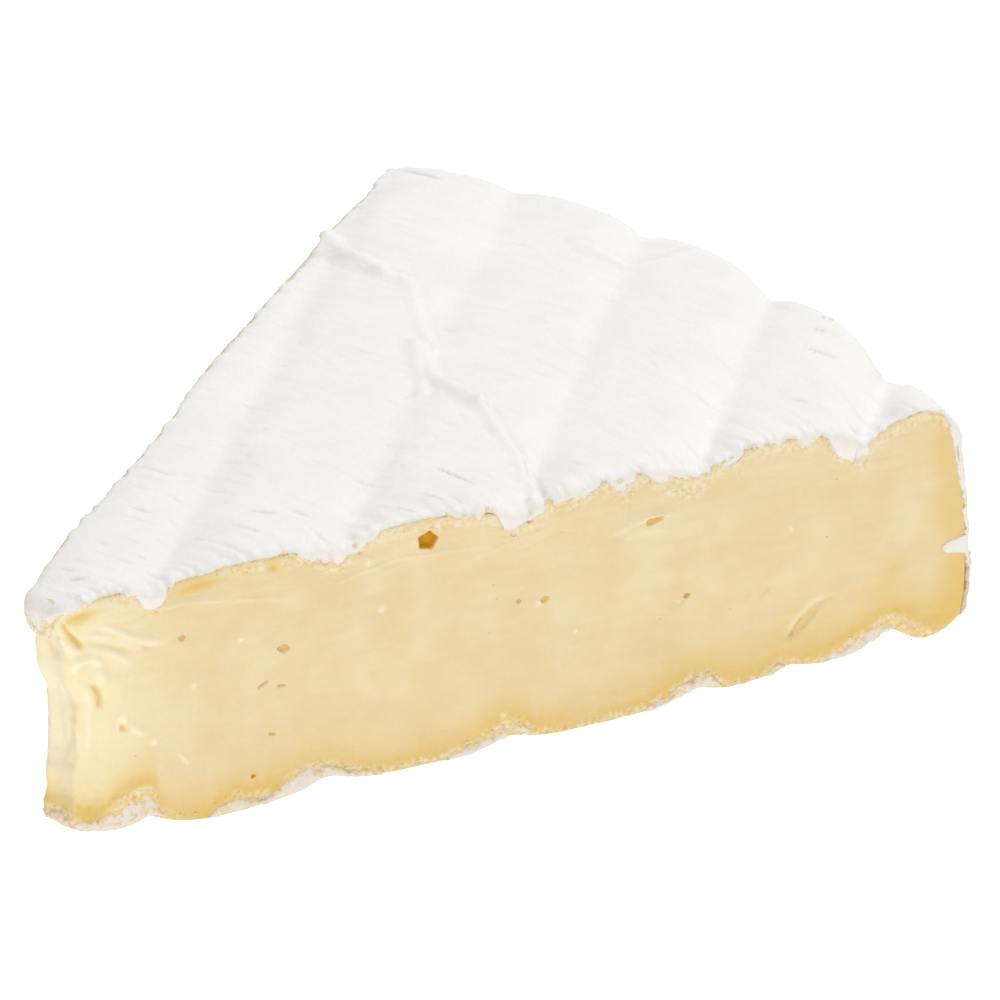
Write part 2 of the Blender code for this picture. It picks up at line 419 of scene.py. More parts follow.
    def shift(self, place: "Plan | SimpleNamespace", height: Array) -> tuple[Array, Array]:
        """Gives the shift in plan that the rim's swell, the tip's hollow and the back cut's inset make.

        Args:
            place: The points' places, a Plan or another record with along, across, radius, angle and at_tip.
            height: Their heights.

        Returns:
            The shift along X and along Y.
        """
        level = np.clip(height / self.height, 1e-6, 1.0)
        hollow = self.hollow(height) * place.at_tip
        swell = self.rim_swell * peak_at(level, self.swell_at)
        pull = swell * smooth_step(1.0 - self.swell_share, 1.0, place.along) + hollow
        inset = self.back_inset * (1.0 - place.radius / self.rim_radius)
        inset = inset + self.back_corner_inset * smooth_step(*self.back_corner_from, place.radius)
        pinch = self.tip_pinch * hollow * (2.0 * place.across - 1.0)
        return pull * np.cos(place.angle), pull * np.sin(place.angle) - inset * place.across - pinch

    def sag(self, radius: Array, height: Array, on_back: Array) -> Array:
        """Gives the slow unevenness of the cut faces, outward, which fades towards the tip and the rim.

        Args:
            radius: Distances from the corner.
            height: Heights.
            on_back: Which points are on the back cut.

        Returns:
            The sag at each point.
        """
        depth, wavelength = self.cut_sag
        front = waves(radius, height, wavelength, 12)
        back = waves(radius, height, wavelength, 18)
        uneven = depth * np.where(on_back, back, front) * smooth_step(*self.sag_from, radius)
        belly = self.cut_belly * np.sin(math.pi * np.clip(height / self.height, 0.0, 1.0))
        return (uneven + belly) * (1.0 - smooth_step(*self.sag_to, radius))

    def in_place(self, points: Array) -> Array:
        """Turns millimetres from the corner into metres in the shared frame."""
        shift = np.array([self.corner[0], self.corner[1], 0.0])
        return (points + shift) * MM


def peak_at(level: Array, peak: float) -> Array:
    """Gives an arch over levels from 0 to 1 whose top is at the given level."""
    return np.sin(math.pi * level ** (math.log(0.5) / math.log(peak)))


@dataclass(frozen=True)
class Fringe:
    """The line along which the rind's cut edge ends over the paste.

    Attributes:
        side: Which rind it is.
        lip: The line on the shown cut, as distances from the corner and heights.
        base: How far the rind hangs on the back cut.
        scallop: Pitch and height of the scallops there.
        back: The tongues there.
        ragged: Wavelengths and depths of the line's unevenness.
        least: The least that the rind hangs.
        open_at: Where the lip stands off the paste: the middles and half lengths.
        specks: Where the torn edge is brown.
        seed: Seed of the unevenness.
    """

    side: Side
    lip: tuple[Pair, ...]
    base: float
    scallop: Pair
    back: tuple[Tongue, ...]
    ragged: tuple[Pair, ...]
    least: float
    open_at: tuple[Pair, ...]
    specks: tuple[float, ...]
    seed: int

    def openness(self, radius: Array) -> Array:
        """Gives how open the gap under the lip of the shown cut is, 0 to 1."""
        return np.clip(sum((bell(radius - at, half) for at, half in self.open_at), 0.0 * radius), 0.0, 1.0)

    def line(self, radius: Array, edge: Array, on_back: Array) -> Array:
        """Gives the height of the rind's lip.

        Args:
            radius: Distances from the corner.
            edge: Height of the rind's edge above or below.
            on_back: Which points are on the back cut.

        Returns:
            The lip's height at each point.
        """
        noise = GradientNoise(self.seed)
        sign = -1.0 if self.side is Side.UPPER else 1.0
        ragged = sum(
            depth * noise.at(radius / wavelength, 11.0 + number, 40.0 * on_back)
            for number, (wavelength, depth) in enumerate(self.ragged)
        )
        shown = np.interp(radius, *zip(*self.lip))
        pitch, height = self.scallop
        drift = 1.6 * noise.at(radius / 9.0, 0.0, 3.0)
        arch = np.abs(np.sin(math.pi * (radius + drift) / pitch)) ** 0.6
        hang = self.base + height * np.clip(0.9 + 0.7 * noise.at(radius / 7.0, 4.0, 0.0), 0.1, 1.6) * arch
        for tongue in self.back:
            hang = hang + tongue.hang * np.exp(-(np.abs(radius - tongue.at) / tongue.half_width) ** 2.6)
        line = np.where(on_back, edge + sign * hang, shown) + sign * ragged
        return np.where(sign < 0.0, np.minimum(line, edge - self.least), np.maximum(line, edge + self.least))


UPPER_FRINGE = Fringe(
    side=Side.UPPER,
    lip=(
        (5.6, 29.2), (7.1, 30.2), (9.5, 31.2), (11.5, 32.4), (13.0, 32.4), (15.4, 31.9), (17.6, 30.9),
        (18.1, 29.3), (19.6, 28.9), (20.8, 29.5), (21.3, 31.3), (24.1, 32.1), (29.3, 33.0), (34.4, 33.2),
        (36.6, 32.8), (37.6, 31.6), (39.2, 30.6), (40.6, 29.4), (42.6, 29.0), (44.4, 30.1), (46.2, 31.0),
        (48.7, 32.2), (50.4, 32.3), (51.6, 32.9), (55.9, 32.9), (57.2, 31.9), (58.6, 31.7), (60.3, 31.0),
        (61.2, 32.3), (61.8, 32.7), (62.5, 30.6), (63.5, 28.7), (65.8, 28.9), (67.9, 30.3), (70.0, 31.0),
        (72.9, 30.9), (74.6, 31.2), (75.7, 32.2), (76.5, 32.9), (77.2, 31.2), (78.6, 29.5), (79.6, 29.9),
        (80.3, 31.6), (81.0, 32.9), (81.8, 31.4), (83.4, 30.2), (85.1, 29.1), (87.7, 27.9), (89.5, 28.9),
        (91.0, 30.9), (92.0, 30.3), (93.9, 30.7), (94.8, 32.0), (95.4, 32.8), (96.6, 31.8), (98.6, 31.9),
        (100.0, 32.5), (100.8, 32.9), (102.1, 30.8), (103.3, 31.0), (104.4, 31.8), (105.2, 31.9),
        (106.3, 29.4), (107.6, 28.0), (110.0, 27.0), (111.2, 27.8), (111.9, 29.4), (112.7, 31.2),
        (114.0, 31.3), (114.8, 32.4),
        (117.5, 33.0), (126.0, 33.0),
    ),
    base=0.5,
    scallop=(4.6, 0.9),
    back=(Tongue(31.0, 2.6, 1.4), Tongue(58.0, 3.0, 1.8), Tongue(84.0, 2.8, 1.3), Tongue(107.0, 3.2, 1.9)),
    ragged=((1.7, 0.26), (0.8, 0.2)),
    least=1.05,
    open_at=((10.6, 2.4), (25.0, 4.2), (34.3, 1.0)),
    specks=(9.6, 13.3, 15.6, 34.2, 43.8, 66.4, 91.6),
    seed=71,
)
LOWER_FRINGE = Fringe(
    side=Side.LOWER,
    lip=(
        (5.6, 6.0), (7.5, 4.6), (9.5, 3.8), (12.0, 3.8), (13.2, 4.7), (14.5, 5.5), (16.6, 6.4),
        (18.0, 6.7), (19.0, 5.5), (19.6, 3.4), (20.4, 2.4), (25.4, 1.0), (28.6, 2.8), (32.5, 2.0),
        (35.0, 2.6), (37.9, 3.9), (40.9, 3.7), (44.1, 2.0), (47.5, 1.2), (51.8, 0.9), (56.0, 1.2),
        (59.1, 2.0), (62.9, 4.1), (65.9, 3.3), (67.3, 1.6), (72.6, 0.5), (77.0, 0.9), (81.8, 1.1),
        (84.8, 2.2), (87.3, 3.6), (90.3, 3.9), (92.4, 1.9), (94.9, 1.0), (97.5, 1.8), (100.2, 3.0),
        (102.8, 2.0), (105.5, 1.8), (108.0, 3.0), (110.3, 4.2), (113.2, 5.8), (116.0, 4.0), (120.8, 0.6),
    ),
    base=0.5,
    scallop=(5.3, 0.5),
    back=(Tongue(24.0, 3.2, 1.5), Tongue(47.0, 3.0, 1.2), Tongue(76.0, 3.4, 1.6), Tongue(101.0, 3.0, 1.4)),
    ragged=((1.3, 0.4), (0.6, 0.25)),
    least=0.3,
    open_at=(),
    specks=(17.5, 43.5, 61.8, 88.0, 111.2),
    seed=93,
)


@dataclass(frozen=True)
class Crease:
    """A fold or a slit in the upper rind.

    Attributes:
        route: Its corners in the shared frame, in millimetres.
        height: How high it stands, or how deep it is if negative.
        half_width: Half its width.
        shade: Depth of the sharp line along its left side.
        stain_and_shade: How tan it is; along a slit the tan is partly stain and partly painted shade.
    """

    route: tuple[Pair, ...]
    height: float
    half_width: float
    shade: float = 0.0
    stain_and_shade: float = 0.0


CREASES = (
    Crease(((27.3, 37.4), (24.6, 33.1), (24.2, 28.8), (23.6, 25.4)), 1.0, 1.2, 0.26),
    Crease(((23.6, 25.4), (24.0, 21.4), (20.7, 17.4), (16.7, 12.7), (13.0, 7.7)), 0.36, 0.9, 0.2),
    Crease(((12.1, 9.8), (7.5, 4.8), (3.6, 0.3)), 0.45, 0.9, 0.18),
    Crease(((12.4, 8.4), (7.1, 2.0), (6.4, -1.7), (5.2, -7.5)), 0.85, 1.15, 0.3),
    Crease(((5.2, -7.5), (4.0, -10.0), (2.1, -13.1), (-0.1, -18.2), (-5.1, -25.3)), 0.5, 0.8, 0.42),
    Crease(((45.4, 12.5), (45.3, 7.7), (45.7, 4.3), (48.1, 1.7), (53.6, -0.1)), 0.55, 1.1, 0.24),
    Crease(((-9.4, -12.9), (-8.9, -20.0)), -0.25, 0.18, 0.0, 0.45),
    Crease(((-15.4, -16.5), (-14.2, -20.7)), -0.2, 0.2, 0.0, 0.3),
    Crease(((-19.7, -16.4), (-18.6, -19.8)), -0.2, 0.2, 0.0, 0.3),
    Crease(((50.7, -21.7), (52.6, -23.9)), -0.25, 0.2, 0.0, 0.5),
    Crease(((47.3, -23.9), (48.0, -25.5)), -0.2, 0.2, 0.0, 0.4),
    Crease(((42.7, -25.9), (43.6, -30.8)), -0.25, 0.18, 0.0, 0.4),
    Crease(((32.0, -32.7), (32.7, -35.7)), -0.2, 0.2, 0.0, 0.25),
    Crease(((-31.7, -4.5), (-29.8, -8.3)), -0.2, 0.2, 0.0, 0.25),
    Crease(((-56.2, -0.1), (-54.4, -2.5)), -0.2, 0.2, 0.0, 0.3),
    Crease(((47.5, 44.4), (48.5, 37.6)), -0.25, 0.25, 0.0, 0.4),
    Crease(((43.6, 45.2), (34.1, 40.6)), -0.15, 0.6, 0.0, 0.4),
)
NOTCHES = (
    (-38.4, 12.1), (-34.0, 13.7), (-29.7, 15.9), (-25.3, 18.2), (-21.2, 19.6), (-16.7, 21.2), (-12.9, 22.5),
    (-1.5, 27.4), (3.2, 28.5), (7.6, 30.4), (11.6, 32.2), (15.6, 34.0), (19.6, 35.6), (22.9, 36.5),
)


@dataclass(frozen=True)
class RindRelief:
    """The fine relief of the upper rind: the mat's ripples, hatch marks, folds and slits, with painted shade
    in the valleys and notches, and tan in the hatch marks and slits that is partly stain and partly painted
    shade.
    """

    ripple_heading: float = math.radians(-77.6)
    ripple_pitch: float = 4.42
    ripple_from: float = -35.6
    ripple_height: float = 0.10
    ripple_bend: Pair = (-5.0, 0.0062)
    valley_depth: float = 0.13
    valley_half_width: float = 0.42
    down: float = 0.03
    hatch_count: int = 190
    # Size, depth and tan of the back edge's notches; the tan is painted shade.
    notch: Triple = (0.9, 0.5, 0.35)
    edge_ripple: Pair = (2.4, 4.5)
    ruffle: Triple = (0.32, 1.3, 2.6)

    def ripple_place(self, x: Array, y: Array) -> Array:
        """Gives how many pitches a point of the shared frame lies from the first ripple."""
        start, strength = self.ripple_bend
        place = -x * math.sin(self.ripple_heading) + y * math.cos(self.ripple_heading)
        place = place + strength * np.clip(y - start, None, 0.0) ** 2
        return (place - self.ripple_from) / self.ripple_pitch

    def hatches(self) -> list[tuple[float, float, float, float]]:
        """Draws short hatch marks that lie on the ripples: x, y, half length and depth."""
        draw = np.random.default_rng(2024)
        marks = []
        for _ in range(self.hatch_count):
            x = draw.uniform(-55.0, 58.0)
            spread = 0.40 * (x + 66.0)
            y = draw.uniform(-spread, spread)
            marks.append((x, y, draw.uniform(0.5, 1.7), draw.uniform(0.06, 0.2)))
        return marks

    def at(self, x: Array, y: Array, from_front: Array) -> tuple[Array, Array]:
        """Works out the relief at points of the shared frame.

        Args:
            x: Plan coordinates in millimetres.
            y: Plan coordinates in millimetres.
            from_front: Distances from the shown cut.

        Returns:
            The height, and how tan the rind is, partly stain and partly painted shade in its grooves.
        """
        noise = GradientNoise(5)
        place = self.ripple_place(x, y) + 0.13 * noise.at(x / 14.0, y / 14.0, 0.0)
        off = place - np.round(place)
        patchy = smooth_step(-0.35, 0.45, noise.at(x / 17.0, y / 11.0, 4.0))
        broken = smooth_step(-0.1, 0.5, noise.at(x / 3.0, y / 7.0, 7.0))
        gain, reach = self.edge_ripple
        near_cut = np.exp(-np.clip(from_front, 0.0, None) / reach)
        patchy = patchy + (1.0 - patchy) * near_cut
        broken = broken + (1.0 - broken) * near_cut
        height = self.ripple_height * (1.0 + gain * near_cut) * patchy * np.cos(2.0 * math.pi * place)
        second = 0.5 * self.ripple_height * (1.0 - patchy) * np.cos(4.0 * math.pi * place + 1.0)
        valley = bell(off * self.ripple_pitch, self.valley_half_width) * broken
        height = height + second - self.valley_depth * (1.0 + gain * near_cut) * valley
        # Painted shade: the ripples' valleys are painted a little tan.
        stain_and_shade = 0.05 * valley
        depth, wavelength, reach = self.ruffle
        folds = noise.at(place * self.ripple_pitch / wavelength, from_front / 6.0, 2.0)
        ruffles = 1.0 - 2.0 * np.abs(folds)
        height = height + depth * ruffles * np.exp(-np.clip(from_front - 1.3, 0.0, None) / reach)
        for mark_x, mark_y, half_length, depth in self.hatches():
            near = (np.abs(x - mark_x) < 3.0) & (np.abs(y - mark_y) < 4.0)
            if not near.any():
                continue
            level = float(np.round(self.ripple_place(np.array(mark_x), np.array(mark_y)) * 2.0) / 2.0)
            across = (place[near] - level) * self.ripple_pitch
            shape = bell(across, 0.2) * bell(y[near] - mark_y, half_length)
            height[near] -= depth * shape
            # Tan in each hatch mark, by its depth: partly a real mark, partly painted shade in the groove.
            stain_and_shade[near] += 0.6 * depth * shape
        size, depth, tan = self.notch
        for notch_x, notch_y in NOTCHES:
            shape = bell(np.hypot(x - notch_x, y - notch_y), size)
            height = height - depth * shape
            # Painted shade: tan in each notch of the back edge.
            stain_and_shade = stain_and_shade + tan * shape
        for crease in CREASES:
            gap, signed, passed = distance_to_route(x, y, crease.route)
            ends = tapered(passed, 0.3) if crease.height < 0 else 1.0
            shape = bell(gap, crease.half_width) * ends
            height = height + crease.height * shape
            height = height - crease.shade * bell(signed - 1.25 * crease.half_width, 0.38) * (gap < 4.0)
            # Tan along a crease: real stain, and painted shade where it is a slit.
            stain_and_shade = stain_and_shade + crease.stain_and_shade * bell(gap, crease.half_width * 1.15) * ends
        height = height + 0.05 * noise.layers(x, y, 0.0 * x, 5.0, 3)
        height = height + self.down * noise.layers(x, y, 0.0 * x, 0.9, 2)
        return height, np.clip(stain_and_shade, 0.0, 1.0)


def new_grid(name: str, rows: int, columns: int) -> Piece:
    """Adds a grid primitive with nothing else selected.

    Args:
        name: The piece's name.
        rows: Vertices along X.
        columns: Vertices along Y.

    Returns:
        The grid, whose vertices run along X first.
    """
    bpy.ops.object.select_all(action="DESELECT")
    bpy.ops.mesh.primitive_grid_add(x_subdivisions=rows - 1, y_subdivisions=columns - 1, size=2.0)
    piece = bpy.context.object
    piece.name = name
    piece.data.name = name
    return piece


def read_points(piece: Piece) -> Array:
    """Reads a mesh's vertices as one row each."""
    points = np.empty(len(piece.data.vertices) * 3)
    piece.data.vertices.foreach_get("co", points)
    return points.reshape(-1, 3)


def write_points(piece: Piece, points: Array) -> None:
    """Sets a mesh's vertices from one row each."""
    piece.data.vertices.foreach_set("co", np.ascontiguousarray(points, dtype=np.float32).ravel())
    piece.data.update()


def write_attribute(piece: Piece, name: str, values: Array) -> None:
    """Stores one number for each vertex, for the materials to read."""
    layer = piece.data.attributes.get(name) or piece.data.attributes.new(name, "FLOAT", "POINT")
    layer.data.foreach_set("value", np.ascontiguousarray(values, dtype=np.float32).ravel())


def read_attribute(piece: Piece, name: str) -> Array:
    """Reads one stored number for each vertex."""
    values = np.empty(len(piece.data.vertices), dtype=np.float32)
    piece.data.attributes[name].data.foreach_get("value", values)
    return values


def select_vertices(piece: Piece, chosen: Array) -> None:
    """Selects vertices by a mask and the edges between them, and clears the faces' selection, in object
    mode.
    """
    mesh = piece.data
    mesh.vertices.foreach_set("select", chosen)
    edges = np.empty(len(mesh.edges) * 2, dtype=np.int32)
    mesh.edges.foreach_get("vertices", edges)
    mesh.edges.foreach_set("select", chosen[edges.reshape(-1, 2)].all(axis=1))
    mesh.polygons.foreach_set("select", np.zeros(len(mesh.polygons), dtype=bool))


def subdivide_faces(piece: Piece, chosen: Array, cuts: int) -> None:
    """Subdivides the faces of a mask, in object mode before and after."""
    select_vertices(piece, np.zeros(len(piece.data.vertices), dtype=bool))
    piece.data.polygons.foreach_set("select", chosen)
    bpy.ops.object.mode_set(mode="EDIT")
    bpy.ops.mesh.select_mode(type="FACE")
    bpy.ops.mesh.subdivide(number_cuts=cuts)
    bpy.ops.mesh.select_all(action="DESELECT")
    bpy.ops.mesh.select_mode(type="VERT")
    bpy.ops.object.mode_set(mode="OBJECT")


def grid_normals(points: Array) -> Array:
    """Works out the unit normals of a grid of points, outward where rows then columns turn left."""
    by_row = np.gradient(points, axis=0)
    by_column = np.gradient(points, axis=1)
    normals = np.cross(by_row, by_column)
    return normals / np.clip(np.linalg.norm(normals, axis=-1, keepdims=True), 1e-9, None)


def smooth_rows(values: Array, reach: int) -> Array:
    """Averages rows of values over their neighbours."""
    kernel = np.hanning(2 * reach + 3)[1:-1]
    kernel = kernel / kernel.sum()
    padded = np.pad(values, ((reach, reach), (0, 0)), mode="edge")
    columns = [np.convolve(padded[:, column], kernel, mode="valid") for column in range(values.shape[1])]
    return np.stack(columns, axis=1)


def close_up(piece: Piece) -> None:
    """Fills every opening of a mesh and turns its faces outward."""
    bpy.ops.object.mode_set(mode="EDIT")
    bpy.ops.mesh.select_all(action="SELECT")
    bpy.ops.mesh.fill_holes(sides=0)
    bpy.ops.mesh.select_all(action="SELECT")
    bpy.ops.mesh.normals_make_consistent(inside=False)
    bpy.ops.mesh.select_all(action="DESELECT")
    bpy.ops.object.mode_set(mode="OBJECT")


@dataclass(frozen=True)
class Border:
    """The border of a rind sheet along the three cuts, point by point.

    Attributes:
        base: The border's points, from the rim down the shown cut, round the tip and up the back cut.
        radius: Their distances from the corner.
        place: Length of border passed at each point.
        on_front: Which points lie on the shown cut.
        on_back: Which points lie on the back cut.
        outward: Directions out of the cuts.
        inward: Directions in which the rind hangs.
        rim: Share of the turn from the top or underside to the rim.
    """

    base: Array
    radius: Array
    place: Array
    on_front: Array
    on_back: Array
    outward: Array
    inward: Array
    rim: Array


@dataclass
class RindSheet:
    """One rind: a sheet over the top or underside and along the rim, with a torn fringe at the cuts.

    Attributes:
        wedge: The wedge's form.
        fringe: How far the rind hangs over the paste.
        name: The piece's name.
        rows: Rows of the sheet from the tip to the shoulder.
        shoulder_rows: Rows round the shoulder.
        rim_rows: Rows along the rim.
        columns: Columns from cut to cut.
        rim_to: Share of the rim's height at which the sheet ends.
        inset: How far inside the cuts the sheet ends and its fringe starts.
        tip_bulge: How much the sheet's corners at the tip are rounded off.
        hidden_depth: How deep the fringe's hidden end lies at the top or underside, and at the rim.
        tip_bulge_out: How much further the rind stands out at the tip.
        droop: How much further it hangs there.
        tucked: How far the sheet's end on the rim lies under the other sheet.
        crowding: Spacing of the columns at the shown cut, as a share of their mean.
        rough: Depth and wavelength of the torn edge's grain.
        slit: How far over the lip a broken slit runs along it, and how deep it is; its groove is painted tan
            as painted shade.
        corner_bulge: How far the rim bulges at the shown cut, and how fast that fades.
        tuck: How far the lip lies under the paste's surface where it isn't open.
        retreat: How far the rind ends short of the cut where it hardly hangs.
        rounding_rows: Rows of the fringe that round the edge.
        hanging_rows: Rows that hang over the paste.
        lip_rows: Rows round its lip.
        hidden_rows: Rows behind it.
        lip_round: How much of the hang the lip's rounding takes.
        tongue: Height, half height and length of the torn bit of rind on the rim's cut edge.
    """

    wedge: Wedge
    fringe: Fringe
    name: str
    rows: int
    shoulder_rows: int
    rim_rows: int
    columns: int
    rim_to: float
    inset: float = 1.3
    tip_bulge: float = 1.4
    hidden_depth: Pair = (5.0, 2.0)
    tip_bulge_out: float = 1.0
    droop: float = 4.0
    tucked: float = 0.0
    crowding: float = 0.6
    rough: Pair = (0.2, 0.5)
    slit: Pair = (0.85, 0.16)
    corner_bulge: Pair = (0.7, 4.0)
    tuck: float = 0.3
    retreat: float = 0.8
    rounding_rows: int = 5
    hanging_rows: int = 7
    lip_rows: int = 2
    hidden_rows: int = 2
    lip_round: float = 0.12
    tongue: Triple = (13.2, 1.05, 3.0)

    @property
    def upper(self) -> bool:
        """Whether this is the rind on top."""
        return self.fringe.side is Side.UPPER

    def build(self) -> Piece:
        """Models the sheet, its fringe and the hidden wall that closes it.

        Returns:
            The finished piece.
        """
        total_rows = self.rows + self.shoulder_rows + self.rim_rows
        piece = new_grid(self.name, total_rows, self.columns)
        points, stain_and_shade = self.sheet()
        flat = points.transpose(1, 0, 2).reshape(-1, 3)
        write_points(piece, flat)
        write_attribute(piece, "stain_and_shade", stain_and_shade.T.ravel())
        write_attribute(piece, "torn", np.zeros(len(flat)))
        index = np.arange(len(flat)).reshape(self.columns, total_rows).T
        chain = np.concatenate([index[::-1, 0], index[0, 1:-1], index[:, -1]])
        border = self.border(flat[chain], total_rows)
        self.extrude_fringe(piece, chain, index, border, stain_and_shade.T.ravel()[chain])
        self.close_inside(piece, border)
        self.roughen(piece, border)
        points = read_points(piece)
        risen = smooth_step(2.0, 8.0, points[:, 2]) * (read_attribute(piece, "section") <= 0.0)
        write_attribute(piece, "foot", 0.0 * risen if self.upper else 1.0 - risen)
        # Marks the rim and the cut edge, where the finish paints shade.
        write_attribute(piece, "side", self.side(piece))
        write_points(piece, self.wedge.in_place(points))
        piece.data.shade_smooth()
        return piece

    def side(self, piece: Piece) -> Array:
        """Gives how far each vertex is on the rim or the cut edge, not on the flat of the rind: where the
        finish paints shade.
        """
        section = read_attribute(piece, "section")
        normals = np.empty(len(section) * 3)
        piece.data.vertices.foreach_get("normal", normals)
        leaning = 1.0 - smooth_step(0.35, 0.85, np.abs(normals[2::3]))
        on_edge = smooth_step(0.0, float(self.rounding_rows), section)
        return np.where(section > 0.0, on_edge, leaning)

    def sheet(self) -> tuple[Array, Array]:
        """Lays out the sheet.

        Returns:
            The points as rows from tip to rim by columns from cut to cut, and how tan each is.
        """
        wedge = self.wedge
        turned = 1.0 - wedge.shoulder_share
        along = np.concatenate(
            [np.linspace(0.0, turned, self.rows), np.linspace(turned, 1.0, self.shoulder_rows + 1)[1:]]
        )
        share = np.linspace(0.0, 1.0, self.columns)
        across = share * (self.crowding + (1.0 - self.crowding) * share)
        plan = wedge.plan(along[:, None], across[None, :], self.inset, self.tip_bulge)
        height = wedge.top(plan) if self.upper else wedge.bottom(plan)
        flat = wedge.settle(plan, height)
        rim_share = np.linspace(1.0 if self.upper else 0.0, self.rim_to, self.rim_rows + 1)[1:]
        rim_plan = wedge.plan(np.ones((self.rim_rows, 1)), across[None, :], self.inset, self.tip_bulge)
        top = wedge.top(rim_plan)
        bottom = wedge.bottom(rim_plan)
        rim = wedge.settle(rim_plan, bottom + (top - bottom) * rim_share[:, None])
        points, stain_and_shade = self.relief(np.concatenate([flat, rim], axis=0))
        if self.tucked > 0.0:
            depth = self.tucked * smooth_step(0.3, 0.8, np.arange(self.rim_rows) / self.rim_rows)
            outward = self.outward(points)[-self.rim_rows :]
            points[-self.rim_rows :] -= outward * depth[:, None, None]
        return points, stain_and_shade

    def outward(self, points: Array) -> Array:
        """Gives the sheet's outward normals."""
        normals = grid_normals(points)
        return normals if self.upper else -normals

    def relief(self, points: Array) -> tuple[Array, Array]:
        """Adds the rind's relief along the sheet's normals.

        Args:
            points: The smooth sheet.

        Returns:
            The uneven sheet, and how tan each point is.
        """
        outward = self.outward(points)
        noise = GradientNoise(31)
        x, y, z = points[..., 0], points[..., 1], points[..., 2]
        level = smooth_step(0.35, 0.85, np.abs(outward[..., 2]))
        rim = 0.16 * noise.layers(x, y, z, 7.0, 3) + 0.05 * noise.layers(x, y, z, 1.1, 2)
        from_front = x * math.sin(self.wedge.half) + y * math.cos(self.wedge.half)
        if self.upper:
            height, stain_and_shade = RindRelief().at(x + self.wedge.corner[0], y + self.wedge.corner[1], from_front)
            height = height + self.furrow_line(x, y)
        else:
            height = 0.06 * noise.layers(x, y, z, 2.5, 3) * smooth_step(0.0, 0.8, z)
            stain_and_shade = 0.12 * smooth_step(0.2, 0.7, noise.layers(x, y, z, 9.0, 2))
        bulge, reach = self.corner_bulge
        rim = rim + bulge * np.exp(-np.clip(from_front, 0.0, None) / reach) * smooth_step(*RIM_ZONE, x)
        total = height * level + rim * (1.0 - level)
        points = points + outward * total[..., None]
        points[..., 2] = np.clip(points[..., 2], 0.0, None)
        return points, stain_and_shade * level

    def furrow_line(self, x: Array, y: Array) -> Array:
        """Gives the thin sunk line that runs in patches along each furrow's middle."""
        noise = GradientNoise(12)
        across = self.wedge.across_rack(x, y)
        along = x * math.cos(self.wedge.rack_angle) + y * math.sin(self.wedge.rack_angle)
        depth = np.zeros(np.shape(x))
        for number, row in enumerate(self.wedge.upper_furrows):
            wander = 0.7 * noise.at(along / 13.0, number * 3.1, 0.0)
            patch = smooth_step(-0.25, 0.35, noise.at(along / 16.0, number * 5.7, 6.0))
            strength = 0.16 + 0.05 * number
            depth = depth - strength * patch * bell(across - row.across - wander, 0.75)
        return depth

    def border(self, base: Array, total_rows: int) -> Border:
        """Works out the directions of the fringe at each point of the sheet's border.

        Args:
            base: The border's points.
            total_rows: Rows of the sheet.

        Returns:
            The border.
        """
        number = np.arange(len(base))
        radius = np.hypot(base[:, 0], base[:, 1])
        step = np.linalg.norm(np.diff(base, axis=0), axis=1)
        place = np.concatenate([[0.0], np.cumsum(step)])
        on_front = number < total_rows
        on_back = number >= len(base) - total_rows
        half = self.wedge.half
        tangent = smooth_rows(np.gradient(base[:, :2], axis=0), 5)
        outward = np.stack([-tangent[:, 1], tangent[:, 0]], axis=1)
        outward = outward / np.clip(np.linalg.norm(outward, axis=1, keepdims=True), 1e-9, None)
        front_normal = np.array([-math.sin(half), -math.cos(half)])
        back_normal = np.array([-math.sin(half), math.cos(half)])
        straight = smooth_step(13.0, 20.0, radius)[:, None]
        outward = np.where(on_front[:, None], outward * (1.0 - straight) + front_normal * straight, outward)
        outward = np.where(on_back[:, None], outward * (1.0 - straight) + back_normal * straight, outward)
        outward = outward / np.linalg.norm(outward, axis=1, keepdims=True)
        outward = np.concatenate([outward, np.zeros((len(base), 1))], axis=1)

        sign = 1.0 if self.upper else -1.0
        facing = sign * np.cross(smooth_rows(np.gradient(base, axis=0), 3), outward)
        facing = facing / np.clip(np.linalg.norm(facing, axis=1, keepdims=True), 1e-9, None)
        leaning = smooth_step(0.55, 0.92, np.hypot(facing[:, 0], facing[:, 1]))
        rim = leaning * smooth_step(*RIM_ZONE, radius)
        inward = -(np.array([0.0, 0.0, sign]) * (1.0 - rim[:, None]) + facing * rim[:, None])
        inward = inward / np.linalg.norm(inward, axis=1, keepdims=True)
        return Border(base, radius, place, on_front, on_back, outward, inward, rim)

    def hang(self, border: Border) -> Array:
        """Gives how far the rind hangs over the paste at each point of the border."""
        edge = border.base[:, 2]
        front = np.abs(edge - self.fringe.line(border.radius, edge, np.zeros(len(edge), dtype=bool)))
        back = np.abs(edge - self.fringe.line(border.radius, edge, np.ones(len(edge), dtype=bool)))
        tip = ~(border.on_front | border.on_back)
        passed = np.cumsum(tip) / max(1, tip.sum())
        noise = GradientNoise(self.fringe.seed + 9)
        ragged = 0.3 * noise.at(border.place / 1.1, 3.0, 0.0)
        between = front[border.on_front][-1] * (1.0 - passed) + back[border.on_back][0] * passed + ragged
        hang = np.where(border.on_front, front, np.where(border.on_back, back, between))
        droop = self.droop * np.where(tip, smooth_step(0.0, 0.8, passed), bell(border.radius - 8.5, 4.0))
        hang = hang + droop * (~border.on_front)
        thin = 0.5 + 0.25 * noise.at(edge / 2.0, 0.0, 5.0)
        if self.upper:
            thin = thin + 0.5 + 0.9 * smooth_step(18.0, 28.0, edge) + 0.25 * noise.at(edge / 0.7, 6.0, 5.0)
            level, half_height, length = self.tongue
            tongue = np.exp(-(np.abs(edge - level) / half_height) ** 6)
            thin = thin + length * tongue + 0.9 * bell(edge - 8.4, 0.6)
        return hang * (1.0 - border.rim) + thin * border.rim

